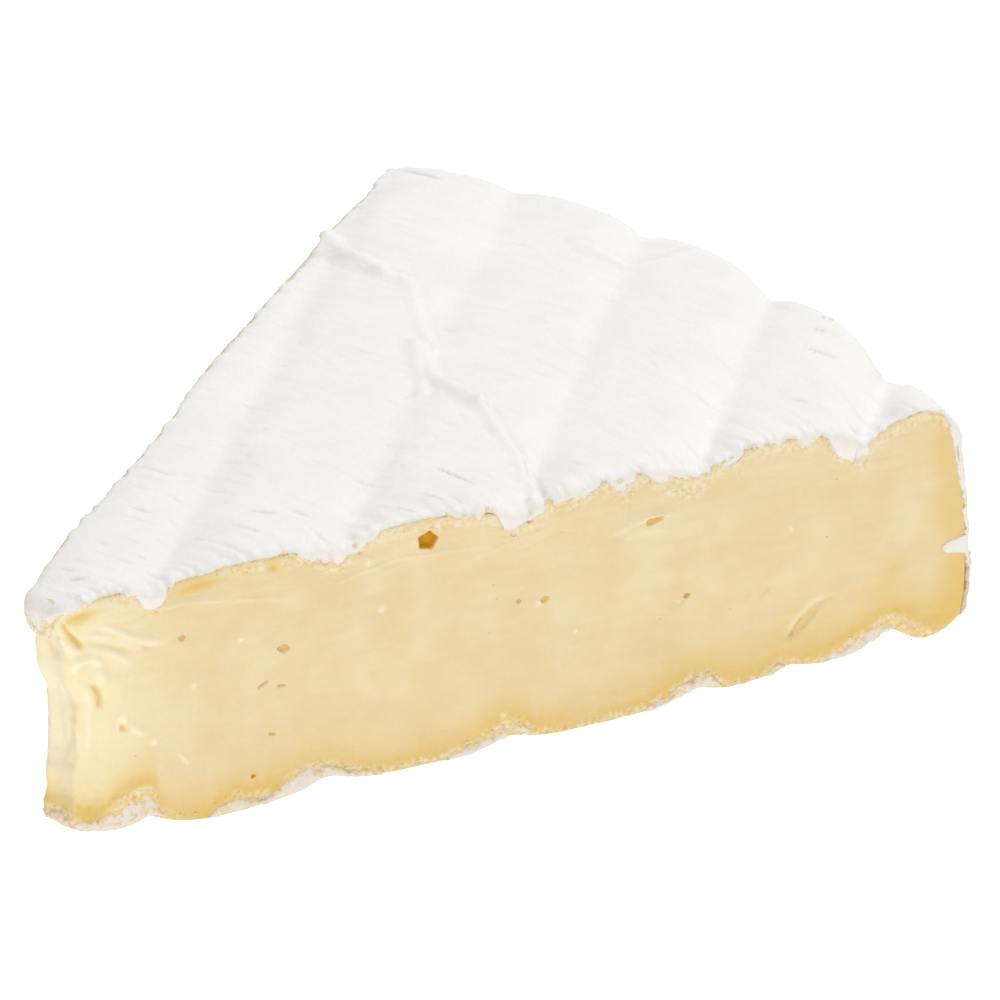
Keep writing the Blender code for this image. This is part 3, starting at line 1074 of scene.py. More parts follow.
    def at_tip(self, border: Border) -> Array:
        """Gives how near each point of the border is to the tip, 0 to 1."""
        return 1.0 - smooth_step(9.2, 13.0, border.radius)

    def proud(self, border: Border) -> Array:
        """Gives how far the rind's cut edge stands out over the paste."""
        noise = GradientNoise(self.fringe.seed + 5)
        proud = 0.28 + 0.14 * noise.at(border.radius / 4.0, 1.0, 0.0)
        if self.upper:
            proud = proud + 0.6 * bell(border.radius - 19.5, 1.8) * border.on_front
            proud = proud + 0.25 * self.fringe.openness(border.radius)
        proud = proud + self.tip_bulge_out * self.at_tip(border)
        return proud * (1.0 - border.rim) + 0.12 * border.rim

    def sections(self, border: Border) -> list[tuple[Array, Array, Array, Array]]:
        """Works out the fringe's cross-section.

        Args:
            border: The sheet's border.

        Returns:
            For each row of the section the distance out from the cut, the distance over it, how torn it is,
            and
            how tan it is: the torn edge's brown specks and painted shade in the slit.
        """
        hang = self.hang(border)
        noise = GradientNoise(self.fringe.seed + 21)
        at_tip = self.at_tip(border)
        proud = self.proud(border) - self.retreat * (1.0 - smooth_step(0.8, 1.5, hang)) * (1.0 - border.rim)
        opened = np.where(border.on_front, self.fringe.openness(border.radius), 0.0)
        lip = -self.tuck * (1.0 - 0.5 * border.rim) + 0.08 * opened + 0.6 * self.tip_bulge_out * at_tip
        lip = np.minimum(proud - 0.1, lip)
        rounding = np.minimum(0.95 + 0.9 * at_tip, 0.5 * hang)
        lip_height = border.base[:, 2] - np.sign(border.inward[:, 2]) * hang
        sag = self.wedge.sag(border.radius, lip_height, border.on_back)
        end = self.hidden_depth[0] * (1.0 - border.rim) + self.hidden_depth[1] * border.rim
        over, depth = self.slit
        slit = smooth_step(0.05, 0.4, noise.at(border.place / 3.5, 0.0, 4.0)) * smooth_step(1.2, 2.0, hang)
        least_torn = 0.0 if self.upper else 0.4 * (1.0 - at_tip)
        specks = sum((bell(border.radius - at, 0.3) for at in self.fringe.specks), 0.0 * hang)
        specks = specks * border.on_front
        none = np.zeros(len(hang))
        rows = []
        for row in range(1, self.rounding_rows + 1):
            turn = 0.5 * math.pi * row / self.rounding_rows
            across = -self.inset + (self.inset + proud + sag) * math.sin(turn)
            down = rounding * (1.0 - math.cos(turn))
            torn = smooth_step(0.9, 0.2, hang - down) + least_torn * (row - 1.0) / self.rounding_rows
            torn = np.clip(torn, 0.0, 1.0)
            rows.append((across, down, torn, 0.3 * specks * torn))
        band = 1.2 + 0.5 * noise.at(border.place / 2.2, 1.0, 9.0) + 0.7 * self.droop * at_tip
        band = band * (1.0 - 0.65 * border.rim)
        for row in range(1, self.hanging_rows + 1):
            part = row / self.hanging_rows
            down = rounding + (hang - self.lip_round - rounding) * part
            groove = slit * bell(hang - down - over, 0.3)
            across = proud + (lip - proud) * part**3 - depth * groove + sag
            torn = np.maximum(1.0 - smooth_step(0.35, 1.0, (hang - down) / band), least_torn)
            # Painted shade: tan in the slit's groove above the flap; the specks are the torn edge's own
            # brown.
            rows.append((across, down, torn, 0.7 * groove + 0.8 * specks * torn))
        for row in range(1, self.lip_rows + 1):
            turn = 0.5 * math.pi * row / self.lip_rows
            across = lip + sag - 0.3 * math.sin(turn)
            down = hang - self.lip_round + self.lip_round * math.sin(turn)
            rows.append((across, down, none + 1.0, 0.6 * specks))
        inner = 2.9 - 1.1 * (1.0 - smooth_step(16.0, 26.0, border.radius))
        for row in range(1, self.hidden_rows + 1):
            part = (row - 1.0) / (self.hidden_rows - 1.0)
            rows.append((-inner - 0.1 * part, hang * (1.0 - part) + end * part, none + 1.0, none))
        return rows

    def extrude_fringe(
        self, piece: Piece, chain: Array, index: Array, border: Border, stain_and_shade: Array
    ) -> None:
        """Extrudes the sheet's cut edges over the paste, one row of the cross-section after the other.

        Args:
            piece: The piece, so far the bare sheet.
            chain: Numbers of the border's vertices.
            index: Numbers of the sheet's vertices by row and column.
            border: The sheet's border.
            stain_and_shade: How tan the border's points are.
        """
        order = np.full(index.size, -1.0)
        order[chain] = np.arange(len(chain))
        write_attribute(piece, "border", order)
        write_attribute(piece, "section", np.where(order < 0.0, -1.0, 0.0))
        select_border(piece, index)
        fade = 1.0
        for number, (across, down, torn, tan) in enumerate(self.sections(border)):
            fade *= 0.75
            fresh = extrude_selected(piece)
            key = np.round(read_attribute(piece, "border")[fresh]).astype(int)
            points = read_points(piece)
            out = border.outward[key] * (across[key] + self.inset)[:, None]
            points[fresh] = border.base[key] + out + border.inward[key] * down[key][:, None]
            if not self.upper:
                points[fresh, 2] = np.clip(points[fresh, 2], 0.0, None)
            write_points(piece, points)
            set_some(piece, "section", fresh, np.full(len(fresh), number + 1.0))
            set_some(piece, "torn", fresh, torn[key])
            set_some(piece, "stain_and_shade", fresh, stain_and_shade[key] * fade + tan[key])

    def close_inside(self, piece: Piece, border: Border) -> None:
        """Bridges the fringe's hidden ends on the two cuts, and fills what stays open.

        Args:
            piece: The piece.
            border: The sheet's border.
        """
        mesh = piece.data
        key = np.round(read_attribute(piece, "border")).astype(int)
        last = np.zeros(len(mesh.vertices), dtype=bool)
        mesh.vertices.foreach_get("select", last)
        on_cut = last & (border.on_front | border.on_back)[np.clip(key, 0, None)]
        select_vertices(piece, on_cut)
        bpy.ops.object.mode_set(mode="EDIT")
        bpy.ops.mesh.bridge_edge_loops()
        bpy.ops.object.mode_set(mode="OBJECT")
        close_up(piece)

    def roughen(self, piece: Piece, border: Border) -> None:
        """Subdivides the fringe on the shown cut and the tip, and gives the torn edge its grain.

        Args:
            piece: The closed piece.
            border: The sheet's border.
        """
        mesh = piece.data
        section = read_attribute(piece, "section")
        key = np.clip(np.round(read_attribute(piece, "border")), 0, None).astype(int)
        shown = (section >= 0.0) & (section <= self.rounding_rows + self.hanging_rows + self.lip_rows)
        shown &= ~border.on_back[key]
        corners = np.empty(len(mesh.loops), dtype=np.int32)
        mesh.loops.foreach_get("vertex_index", corners)
        starts = np.empty(len(mesh.polygons), dtype=np.int32)
        mesh.polygons.foreach_get("loop_start", starts)
        chosen = np.logical_and.reduceat(shown[corners], starts)
        subdivide_faces(piece, chosen, 1)
        normals = np.empty(len(mesh.vertices) * 3)
        mesh.vertices.foreach_get("normal", normals)
        points = read_points(piece)
        noise = GradientNoise(self.fringe.seed + 33)
        depth, wavelength = self.rough
        section = read_attribute(piece, "section")
        grain = noise.layers(points[:, 0], points[:, 1], points[:, 2], wavelength, 2)
        soft = noise.layers(points[:, 0], points[:, 1], points[:, 2], 1.4, 2)
        fringe = np.clip(section, 0.0, 1.0)
        torn = read_attribute(piece, "torn")
        torn = np.clip(torn + 0.9 * soft * fringe * (torn > 0.02), 0.0, 1.0) * fringe
        write_attribute(piece, "torn", torn)
        total = depth * torn * grain + 0.08 * fringe * soft
        points = points + normals.reshape(-1, 3) * total[:, None]
        points[:, 2] = np.clip(points[:, 2], 0.0, None)
        write_points(piece, points)


def select_border(piece: Piece, index: Array) -> None:
    """Selects the edges on a sheet's border along the cuts.

    Args:
        piece: The sheet.
        index: Numbers of its vertices by row and column.
    """
    mesh = piece.data
    chosen = np.zeros(index.size, dtype=bool)
    chosen[index[:, 0]] = True
    chosen[index[:, -1]] = True
    chosen[index[0, :]] = True
    select_vertices(piece, chosen)
    bpy.ops.object.mode_set(mode="EDIT")
    bpy.ops.mesh.select_mode(type="EDGE")
    bpy.ops.object.mode_set(mode="OBJECT")
    LOG.info("%s: %d border edges", piece.name, sum(edge.select for edge in mesh.edges))


def extrude_selected(piece: Piece) -> Array:
    """Extrudes the selected edges in place and gives the numbers of the new vertices."""
    bpy.ops.object.mode_set(mode="EDIT")
    bpy.ops.mesh.extrude_edges_move()
    bpy.ops.object.mode_set(mode="OBJECT")
    chosen = np.empty(len(piece.data.vertices), dtype=bool)
    piece.data.vertices.foreach_get("select", chosen)
    return np.nonzero(chosen)[0]


def set_some(piece: Piece, name: str, chosen: Array, values: Array) -> None:
    """Stores numbers for some vertices."""
    stored = read_attribute(piece, name)
    stored[chosen] = values
    write_attribute(piece, name, stored)


@dataclass(frozen=True)
class Hollow:
    """A gas hole or a gouge in the shown cut.

    Attributes:
        at: Its place: the distance from the corner and the height.
        size: Its half length and half height.
        depth: How deep it is.
        turn: How far it is turned, in degrees.
        corners: How many corners its outline has, and how strong they are.
        amber: How dark gold its inside is.
    """

    at: Pair
    size: Pair
    depth: float
    turn: float = 0.0
    corners: tuple[int, float] = (5, 0.08)
    amber: float = 0.0


@dataclass(frozen=True)
class Smear:
    """A ridge, a step or a strand that the knife or the flowing paste left on a cut.

    Attributes:
        route: Its corners as distances from the corner and heights.
        height: How high it stands, or how deep it is if negative.
        half_width: Half its width.
        pale: How pale it is, or how golden if negative; paler ridges and more golden grooves are partly the
            strands' own colour and partly painted highlight and painted shade.
    """

    route: tuple[Pair, ...]
    height: float
    half_width: float
    pale: float = 0.0


HOLLOWS = (
    Hollow((53.8, 30.1), (1.15, 1.1), 0.9, 8.0, (5, 0.09), 1.0),
    Hollow((35.3, 20.7), (0.8, 0.5), 0.4, -10.0, (4, 0.08), 0.18),
    Hollow((22.8, 25.1), (0.45, 0.38), 0.3, 0.0, (5, 0.06), 0.18),
    Hollow((32.7, 16.6), (0.8, 0.2), 0.25, 22.0, (2, 0.0), 0.3),
    Hollow((34.9, 15.9), (0.6, 0.18), 0.2, -8.0, (2, 0.0), 0.3),
    Hollow((33.7, 9.7), (0.5, 0.2), 0.25, -15.0, (2, 0.0), 0.3),
    Hollow((31.2, 4.7), (0.3, 0.26), 0.35, 0.0, (3, 0.05), 0.7),
    Hollow((65.1, 19.7), (0.32, 0.26), 0.25, 0.0, (4, 0.05), 0.2),
    Hollow((68.5, 19.1), (0.6, 0.4), 0.3, 15.0, (5, 0.07), 0.2),
    Hollow((87.0, 15.2), (0.45, 0.34), 0.3, 10.0, (4, 0.05), 0.6),
    Hollow((82.6, 26.3), (1.2, 0.45), 0.3, 8.0, (3, 0.16), 0.25),
    Hollow((103.0, 7.7), (2.8, 0.55), 0.4, 44.0, (3, 0.1), 0.0),
)
SMEARS = (
    Smear(((100.9, 5.2), (101.8, 7.4), (103.0, 8.6)), -0.25, 0.5, -0.9),
    Smear(((102.5, 8.4), (104.2, 9.7), (106.9, 10.4)), -0.3, 0.3, -0.3),
    Smear(((100.5, 6.0), (101.7, 8.7), (103.4, 10.3), (106.3, 11.1)), 0.28, 0.5, 0.25),
    Smear(((96.6, 12.1), (97.6, 13.3), (98.6, 14.1)), -0.25, 0.2),
    Smear(((95.0, 12.9), (95.9, 13.6)), -0.22, 0.18),
    Smear(((84.6, 14.0), (85.4, 14.5), (86.2, 14.1), (87.1, 14.9)), -0.28, 0.2),
    Smear(((76.5, 25.6), (79.0, 26.0), (82.2, 26.9), (86.4, 26.3)), 0.2, 0.25, 0.3),
    Smear(((78.0, 24.6), (81.0, 25.0), (85.0, 24.6)), 0.1, 0.3, 0.3),
    Smear(((18.0, 29.2), (24.0, 29.5), (30.5, 28.2), (37.6, 26.3)), 0.1, 0.22, 0.15),
    Smear(((24.0, 28.0), (31.0, 27.6), (40.0, 25.2)), -0.08, 0.2),
    Smear(((40.0, 27.0), (50.2, 28.5), (56.0, 28.2), (62.9, 27.5)), 0.09, 0.18, 0.15),
    Smear(((57.0, 26.0), (64.0, 27.6), (72.0, 29.0)), 0.09, 0.16, 0.1),
    Smear(((63.0, 26.0), (70.6, 27.7), (76.0, 25.6), (81.0, 24.2)), -0.1, 0.16),
    Smear(((68.0, 20.5), (73.0, 24.6), (77.5, 27.0)), -0.09, 0.15),
    Smear(((21.7, 10.4), (23.2, 8.4)), 0.12, 0.16, 0.6),
    Smear(((11.3, 28.9), (13.5, 28.6), (15.9, 27.0), (17.5, 25.9), (21.9, 24.9)), 0.24, 0.38, 0.55),
    Smear(((9.9, 28.3), (14.5, 26.9), (18.5, 24.7)), 0.2, 0.36, 0.5),
    Smear(((10.2, 27.2), (13.5, 26.1), (17.2, 24.4)), -0.16, 0.3, -0.25),
    Smear(((10.6, 26.3), (13.8, 25.1), (17.0, 23.0)), 0.2, 0.4, 0.5),
    Smear(((12.5, 27.9), (16.0, 26.1), (20.5, 23.9)), -0.16, 0.25, -0.2),
    Smear(((5.6, 30.0), (6.9, 29.4), (8.4, 27.4), (10.0, 25.2)), 0.42, 0.65, 0.4),
    Smear(((7.6, 30.4), (9.2, 28.3), (10.9, 26.0)), -0.3, 0.4, -0.85),
    Smear(((8.2, 30.6), (10.3, 30.1), (12.8, 31.0)), -0.1, 0.8, -0.8),
    Smear(((8.4, 23.4), (9.4, 24.7), (11.4, 24.9), (13.0, 23.9)), 0.42, 0.5, 0.65),
    Smear(((11.8, 23.4), (13.0, 21.2)), 0.38, 0.8, 0.35),
    Smear(((11.0, 21.9), (11.2, 20.4), (11.3, 17.6)), -0.4, 0.5, -0.9),
    Smear(((9.8, 21.5), (9.6, 16.8), (9.2, 11.8)), 0.14, 0.42, 0.5),
    Smear(((8.0, 19.5), (7.4, 16.0), (7.8, 12.6)), -0.1, 0.6, -0.45),
    Smear(((6.6, 16.8), (7.9, 14.6), (8.2, 12.0)), 0.2, 0.5, 0.5),
    Smear(((14.2, 17.0), (14.9, 16.3), (15.5, 16.0)), 0.3, 0.55, 0.6),
    Smear(((14.5, 15.5), (14.9, 14.6)), -0.4, 0.45, -0.9),
    Smear(((15.6, 15.1), (16.6, 14.6), (17.8, 13.6)), 0.25, 0.45, 0.55),
    Smear(((7.6, 6.2), (9.5, 5.1), (12.2, 5.1), (13.4, 5.9)), -0.1, 0.7, -0.9),
    Smear(((3.4, 27.0), (5.2, 25.4), (7.2, 25.6)), -0.25, 0.7, -0.5),
    Smear(((4.0, 21.0), (5.4, 17.0), (5.0, 12.0)), 0.15, 0.8, 0.2),
)
NUBS = (
    (18.9, 12.4, 0.4),
    (62.9, 5.1, 0.4),
    (67.7, 18.9, 0.42),
    (46.4, 28.9, 0.42),
    (47.6, 22.7, 0.35),
    (72.5, 14.0, 0.3),
    (100.7, 21.0, 0.3),
    (24.0, 18.7, 0.35),
    (30.0, 23.2, 0.3),
)


@dataclass(frozen=True)
class Ring:
    """The paste's outline in plan, as a table along its length."""

    place: Array
    along: Array
    across: Array
    radius: Array
    angle: Array
    x: Array
    y: Array
    top: Array
    bottom: Array
    at_tip: Array
    normal_x: Array
    normal_y: Array
    front_to: float
    tip_to: float
    front_from: float
    back_to: float

    def spot(self, place: Array) -> SimpleNamespace:
        """Reads every column of the table at places along the outline."""
        found = SimpleNamespace()
        for name, column in vars(self).items():
            if isinstance(column, Array):
                setattr(found, name, np.interp(place, self.place, column))
        return found


@dataclass
class PasteBody:
    """The paste: both cut faces and the creamy tip, closed behind the rinds.

    Attributes:
        wedge: The wedge's form.
        spacing: Distance between stations on the shown cut, the tip, the back cut and the hidden rim.
        rows: Rows from the underside to the top.
        rind: How far the paste ends inside the rim.
        ends: How far above the underside and below the top the faces end.
        edge_round: Radius of the rounding there.
        crowded: Share of the rows, and share of the height that they cover at each end.
        roll_share: Share of the rows that roll inward at each end.
        roll_inward: How far they roll.
        roll_heights: Heights that they end at.
        fine_cuts: Cuts of the grid round the holes.
        hidden_inset: How much further inside the rim its hidden side lies.
        tip_rounding: Reach of the outline's rounding at the tip.
        relief_heights: Heights of the knife's smears, the grain and the broad swells.
        tip_zone: Radii between which the soft tip's own relief fades.
        tip_relief: Height of that relief.
        crumbly_relief: Height of the crumbly strip beside the rinds.
        golden_reach: Reach of the deeper colour over the foot, and what it gains toward the rim.
        golden_end: Radii between which the deeper colour by the rim sets in.
        creamy_to: Radii between which the tip's cream fades.
    """

    wedge: Wedge
    spacing: tuple[float, float, float, float] = (0.28, 0.2, 0.7, 3.0)
    rows: int = 112
    rind: float = 0.25
    ends: Pair = (0.25, 0.0)
    edge_round: float = 0.4
    crowded: Pair = (0.24, 0.15)
    roll_share: float = 0.04
    roll_inward: float = 3.0
    roll_heights: Pair = (5.0, 28.0)
    fine_cuts: int = 2
    hidden_inset: float = 2.0
    tip_rounding: float = 2.2
    relief_heights: Triple = (0.07, 0.035, 0.10)
    tip_zone: Pair = (9.0, 19.0)
    tip_relief: float = 0.2
    crumbly_relief: float = 0.12
    golden_reach: Pair = (2.3, 1.8)
    golden_end: Pair = (117.4, 121.0)
    creamy_to: Pair = (8.0, 26.0)

    def build(self) -> Piece:
        """Models the paste from an unrolled grid.

        Returns:
            The finished piece.
        """
        ring = self.ring()
        stops = self.stations(ring)
        piece = new_grid("paste_body", len(stops), self.rows)
        self.refine(piece, ring, stops)
        flat = read_points(piece)
        points, marks = self.faces(ring, *unrolled(flat, stops))
        write_points(piece, points)
        for name, values in marks.items():
            write_attribute(piece, name, values)
        bpy.ops.object.mode_set(mode="EDIT")
        bpy.ops.mesh.select_all(action="SELECT")
        bpy.ops.mesh.remove_doubles(threshold=1e-4)
        bpy.ops.object.mode_set(mode="OBJECT")
        close_up(piece)
        write_points(piece, self.wedge.in_place(read_points(piece)))
        piece.data.shade_smooth()
        return piece

    def ring(self) -> Ring:
        """Works out the paste's outline, starting and ending in the middle of the hidden rim."""
        wedge = self.wedge

        def end_of(across: Array) -> Array:
            """Gives the share from tip to rim at which the paste ends."""
            shoulder = wedge.shoulders[0] + (wedge.shoulders[1] - wedge.shoulders[0]) * across
            turn = np.arcsin(1.0 - self.rind / shoulder)
            return 1.0 - wedge.shoulder_share + wedge.shoulder_share * turn / (0.5 * math.pi)

        count = 900
        run = np.linspace(0.0, 1.0, count, endpoint=False)
        front_end, back_end = (float(end_of(np.array(side))) for side in (0.0, 1.0))
        across = np.concatenate(
            [0.5 * (1.0 - run), 0.0 * run, run, 1.0 + 0.0 * run, 1.0 - 0.5 * run, [0.5]]
        )
        along = np.concatenate(
            [
                end_of(0.5 * (1.0 - run)),
                front_end * (1.0 - run),
                0.0 * run,
                back_end * run,
                end_of(1.0 - 0.5 * run),
                [float(end_of(np.array(0.5)))],
            ]
        )
        plan = wedge.plan(along, across)
        place = np.concatenate([[0.0], np.cumsum(np.hypot(np.diff(plan.x), np.diff(plan.y)))])
        corners = [place[count], place[2 * count], place[3 * count], place[4 * count]]
        even = np.linspace(0.0, place[-1], 4000)
        step = even[1] - even[0]
        reach = int(0.3 / step)
        outline = np.stack([np.interp(even, place, plan.x), np.interp(even, place, plan.y)], axis=1)
        near_tip = 1.0 - smooth_step(11.0, 18.0, np.hypot(outline[:, 0], outline[:, 1]))[:, None]
        outline = smooth_rows(outline, reach)
        rounded = smooth_rows(outline, int(self.tip_rounding / step))
        outline = outline * (1.0 - near_tip) + rounded * near_tip
        tangent = smooth_rows(np.gradient(outline, axis=0), reach)
        tangent = tangent / np.linalg.norm(tangent, axis=1, keepdims=True)
        table = {
            name: np.interp(even, place, values)
            for name, values in (
                ("along", plan.along),
                ("across", plan.across),
                ("radius", plan.radius),
                ("angle", plan.angle),
                ("top", wedge.top(plan)),
                ("bottom", wedge.bottom(plan)),
                ("at_tip", plan.at_tip),
            )
        }
        return Ring(
            place=even,
            x=outline[:, 0],
            y=outline[:, 1],
            normal_x=-tangent[:, 1],
            normal_y=tangent[:, 0],
            front_from=corners[0],
            front_to=corners[1],
            tip_to=corners[2],
            back_to=corners[3],
            **table,
        )

    def stations(self, ring: Ring) -> Array:
        """Lists the places round the outline where the grid has its stations."""
        front, tip, back, rim = self.spacing
        parts = (
            (0.0, ring.front_from, rim),
            (ring.front_from, ring.front_to, front),
            (ring.front_to, ring.tip_to, tip),
            (ring.tip_to, ring.back_to, back),
            (ring.back_to, ring.place[-1], rim),
        )
        runs = [
            np.linspace(low, high, max(2, int((high - low) / gap)), endpoint=False)
            for low, high, gap in parts
        ]
        return np.concatenate(runs + [ring.place[-1:]])

    def refine(self, piece: Piece, ring: Ring, stops: Array) -> None:
        """Subdivides the grid round the holes and gouges of the shown cut.

        Args:
            piece: The grid, not yet bent.
            ring: The outline.
            stops: The grid's stations.
        """
        mesh = piece.data
        centres = np.empty(len(mesh.polygons) * 3)
        mesh.polygons.foreach_get("center", centres)
        centres = centres.reshape(-1, 3)
        radius, height, front = self.face_place(ring, *unrolled(centres, stops))
        near = np.zeros(len(centres), dtype=bool)
        spots = [(hollow.at, hollow.size) for hollow in HOLLOWS]
        spots += [((at, up), (size, size)) for at, up, size in NUBS]
        for (at, up), (long, high) in spots:
            near |= front & (np.hypot((radius - at) / (long + 0.6), (height - up) / (high + 0.6)) < 1.0)
        subdivide_faces(piece, near, self.fine_cuts)

    def face_place(self, ring: Ring, place: Array, row: Array) -> tuple:
        """Gives the distance from the corner, the height, and whether a point is on the shown cut."""
        level = np.clip((row - self.roll_share) / (1.0 - 2.0 * self.roll_share), 0.0, 1.0)
        rows, share = self.crowded
        level = np.interp(level, (0.0, rows, 1.0 - rows, 1.0), (0.0, share, 1.0 - share, 1.0))
        spot = ring.spot(place)
        low = spot.bottom + self.ends[0]
        high = spot.top - self.ends[1]
        return spot.radius, low + (high - low) * level, (place > ring.front_from) & (place < ring.front_to)

    def faces(self, ring: Ring, place: Array, row: Array) -> tuple[Array, dict[str, Array]]:
        """Bends the grid to the paste.

        Args:
            ring: The outline.
            place: Each point's place along the outline.
            row: Each point's share of the way up.

        Returns:
            The points, and the marks that the material reads.
        """
        wedge = self.wedge
        spot = ring.spot(place)
        top, bottom = spot.top, spot.bottom
        radius, height, on_front = self.face_place(ring, place, row)
        on_back = (place > ring.tip_to) & (place < ring.back_to)
        cut = on_front | on_back | ((place >= ring.front_to) & (place <= ring.tip_to))

        above = np.clip((row - 1.0 + self.roll_share) / self.roll_share, 0.0, 1.0)
        below = np.clip((self.roll_share - row) / self.roll_share, 0.0, 1.0)
        rolled = np.maximum(above, below)
        settled = height + (self.roll_heights[1] - height) * above**1.5
        settled = settled + (self.roll_heights[0] - settled) * below**1.5

        upper_line = UPPER_FRINGE.line(radius, top, on_back)
        lower_line = LOWER_FRINGE.line(radius, bottom, on_back)
        past_front = place - ring.front_to
        relief, marks = self.relief(radius, height, on_front, on_back, past_front, upper_line, lower_line)
        sag = wedge.sag(radius, height, on_back)
        beyond = np.maximum(height - (top - self.ends[1]), bottom + self.ends[0] - height) + self.edge_round
        beyond = np.clip(beyond / self.edge_round, 0.0, 0.999)
        rounded = self.edge_round * (1.0 - np.sqrt(1.0 - beyond**2))
        out = np.where(cut, (sag + relief) * (1.0 - rolled), 0.0) - rounded
        out = out - (self.roll_inward - self.edge_round) * np.sin(0.5 * math.pi * rolled)
        round_corner = np.maximum(ring.front_from - place, place - ring.back_to)
        out = out - self.hidden_inset * smooth_step(2.0, 6.0, round_corner)

        shift_x, shift_y = wedge.shift(spot, height)
        x = spot.x + shift_x + out * spot.normal_x
        y = spot.y + shift_y + out * spot.normal_y
        return np.stack([x, y, settled], axis=1), marks

    def relief(
        self,
        radius: Array,
        height: Array,
        on_front: Array,
        on_back: Array,
        past_front: Array,
        upper_line: Array,
        lower_line: Array,
    ) -> tuple[Array, dict[str, Array]]:
        """Works out how far the cut faces stand out or in, and their marks.

        Args:
            radius: Distances from the corner.
            height: Heights.
            on_front: Which points are on the shown cut.
            on_back: Which points are on the back cut.
            past_front: Length of outline past the shown cut's end at the tip.
            upper_line: Height of the upper rind's lip.
            lower_line: Height of the lower rind's lip.

        Returns:
            The relief outward, and for each mark its strength.
        """
        noise = GradientNoise(44)
        side = np.where(on_back, 60.0, 0.0)
        run = np.where(on_front, radius, self.wedge.tip_radius - past_front)
        shown = ~on_back
        smear = noise.layers(run / 9.0, height / 1.3, side, 1.0, 3)
        grain = noise.layers(run, height, side, 1.5, 3)
        broad = noise.layers(run / 1.6, height, side, 6.0, 2)
        smear_height, grain_height, broad_height = self.relief_heights
        relief = smear_height * smear + grain_height * grain + broad_height * broad
        near_tip = 1.0 - smooth_step(*self.tip_zone, radius)
        soft = noise.layers(run / 1.1, height, side + 9.0, 3.4, 3)
        relief = relief + self.tip_relief * near_tip * soft

        under_lip = upper_line - height
        over_foot = height - lower_line
        opened = UPPER_FRINGE.openness(radius) * on_front
        relief = relief - 0.1 * opened * bell(under_lip - 0.3, 0.8)
        fleck = np.exp(-np.clip(under_lip - 0.2, 0.0, None) / 0.5)
        fleck = fleck + np.exp(-np.clip(over_foot - 0.2, 0.0, None) / 0.4)
        fleck = np.clip(fleck, 0.0, 1.0) * (1.0 - opened)
        crumbly = noise.layers(run, height, side + 3.0, 0.6, 2)
        relief = relief + self.crumbly_relief * fleck * crumbly

        amber = np.zeros(len(radius))
        # Painted light: the tip's face past the shown cut is painted paler, to lift its shade.
        pale = 0.3 * smooth_step(0.0, 2.5, past_front) * shown * smooth_step(6.0, 11.0, height)
        # Painted shadow: the gap under the lip where it stands off is painted golden.
        glow = opened * bell(under_lip - 0.3, 0.7)
        for nub_at, nub_height, size in NUBS:
            off = np.hypot(radius - nub_at, height - nub_height)
            shape = bell(off, size * (1.0 + 0.3 * grain)) * on_front
            relief = relief + 0.35 * size * shape
            pale = np.maximum(pale, 0.6 * shape)
        for hollow in HOLLOWS:
            depth, inside = hollow_at(radius, height, hollow)
            relief = relief - np.where(on_front, depth, 0.0)
            amber = np.maximum(amber, np.where(on_front, inside * hollow.amber, 0.0))
            # Painted shade, partly the hole's own deeper gold: a hollow is painted more golden the deeper it
            # is.
            glow = np.maximum(glow, np.where(on_front, (0.3 + hollow.amber) * depth / hollow.depth, 0.0))
        for smear_line in SMEARS:
            gap, _, passed = distance_to_route(run, height, smear_line.route)
            ends = tapered(passed, 0.25)
            shape = bell(gap, smear_line.half_width) * ends * (1.0 + 0.5 * grain) * shown
            relief = relief + smear_line.height * shape
            # Ridges are painted paler and grooves more golden: partly the strands' own colour, partly
            # painted highlight and painted shade.
            pale = np.maximum(pale, smear_line.pale * shape)
            glow = np.maximum(glow, -smear_line.pale * shape)

        reach_at_tip, gain = self.golden_reach
        reach = reach_at_tip + gain * smooth_step(85.0, 105.0, radius)
        low_band = np.exp(-np.clip(over_foot - 0.6, 0.0, None) / reach) * (1.0 + 0.3 * broad)
        high_band = np.exp(-np.clip(under_lip, 0.0, None) / 0.8) * (0.5 + 0.5 * broad)
        end_band = 0.6 * smooth_step(*self.golden_end, radius - 5.0 * on_back + 0.8 * broad)
        golden = np.clip(low_band + 0.6 * high_band + end_band, 0.0, 1.0)
        golden = golden * (1.0 - 0.6 * near_tip * smooth_step(9.0, 12.0, height))
        # The golden mark: the paste's deeper colour by the rinds, and painted shade in the gap under the
        # lip, the hollows and the grooves.
        golden = np.clip(np.maximum(golden, glow), 0.0, 1.0)
        creamy = 1.0 - smooth_step(*self.creamy_to, radius)
        marks = {"golden": golden, "pale": pale, "amber": amber, "creamy": creamy, "fleck": fleck}
        return relief, marks


def unrolled(points: Array, stops: Array) -> tuple[Array, Array]:
    """Gives the place along the outline and the share of the way up of points on the unrolled grid."""
    station = 0.5 * (points[:, 0] + 1.0) * (len(stops) - 1.0)
    return np.interp(station, np.arange(len(stops)), stops), 0.5 * (points[:, 1] + 1.0)


def hollow_at(radius: Array, height: Array, hollow: Hollow) -> tuple[Array, Array]:
    """Gives a hollow's depth, and how far inside it each point is."""
    turn = math.radians(hollow.turn)
    off_run = radius - hollow.at[0]
    off_up = height - hollow.at[1]
    run = (off_run * math.cos(turn) + off_up * math.sin(turn)) / hollow.size[0]
    rise = (off_up * math.cos(turn) - off_run * math.sin(turn)) / hollow.size[1]
    count, strength = hollow.corners
    bearing = np.arctan2(rise, run)
    reach = np.hypot(run, rise) * (1.0 - strength * np.cos(count * bearing))
    inside = 1.0 - smooth_step(0.7, 1.1, reach)
    lip = 0.06 * hollow.depth * bell(reach - 1.25, 0.2)
    return hollow.depth * inside - lip, 1.0 - smooth_step(0.9, 1.12, reach)


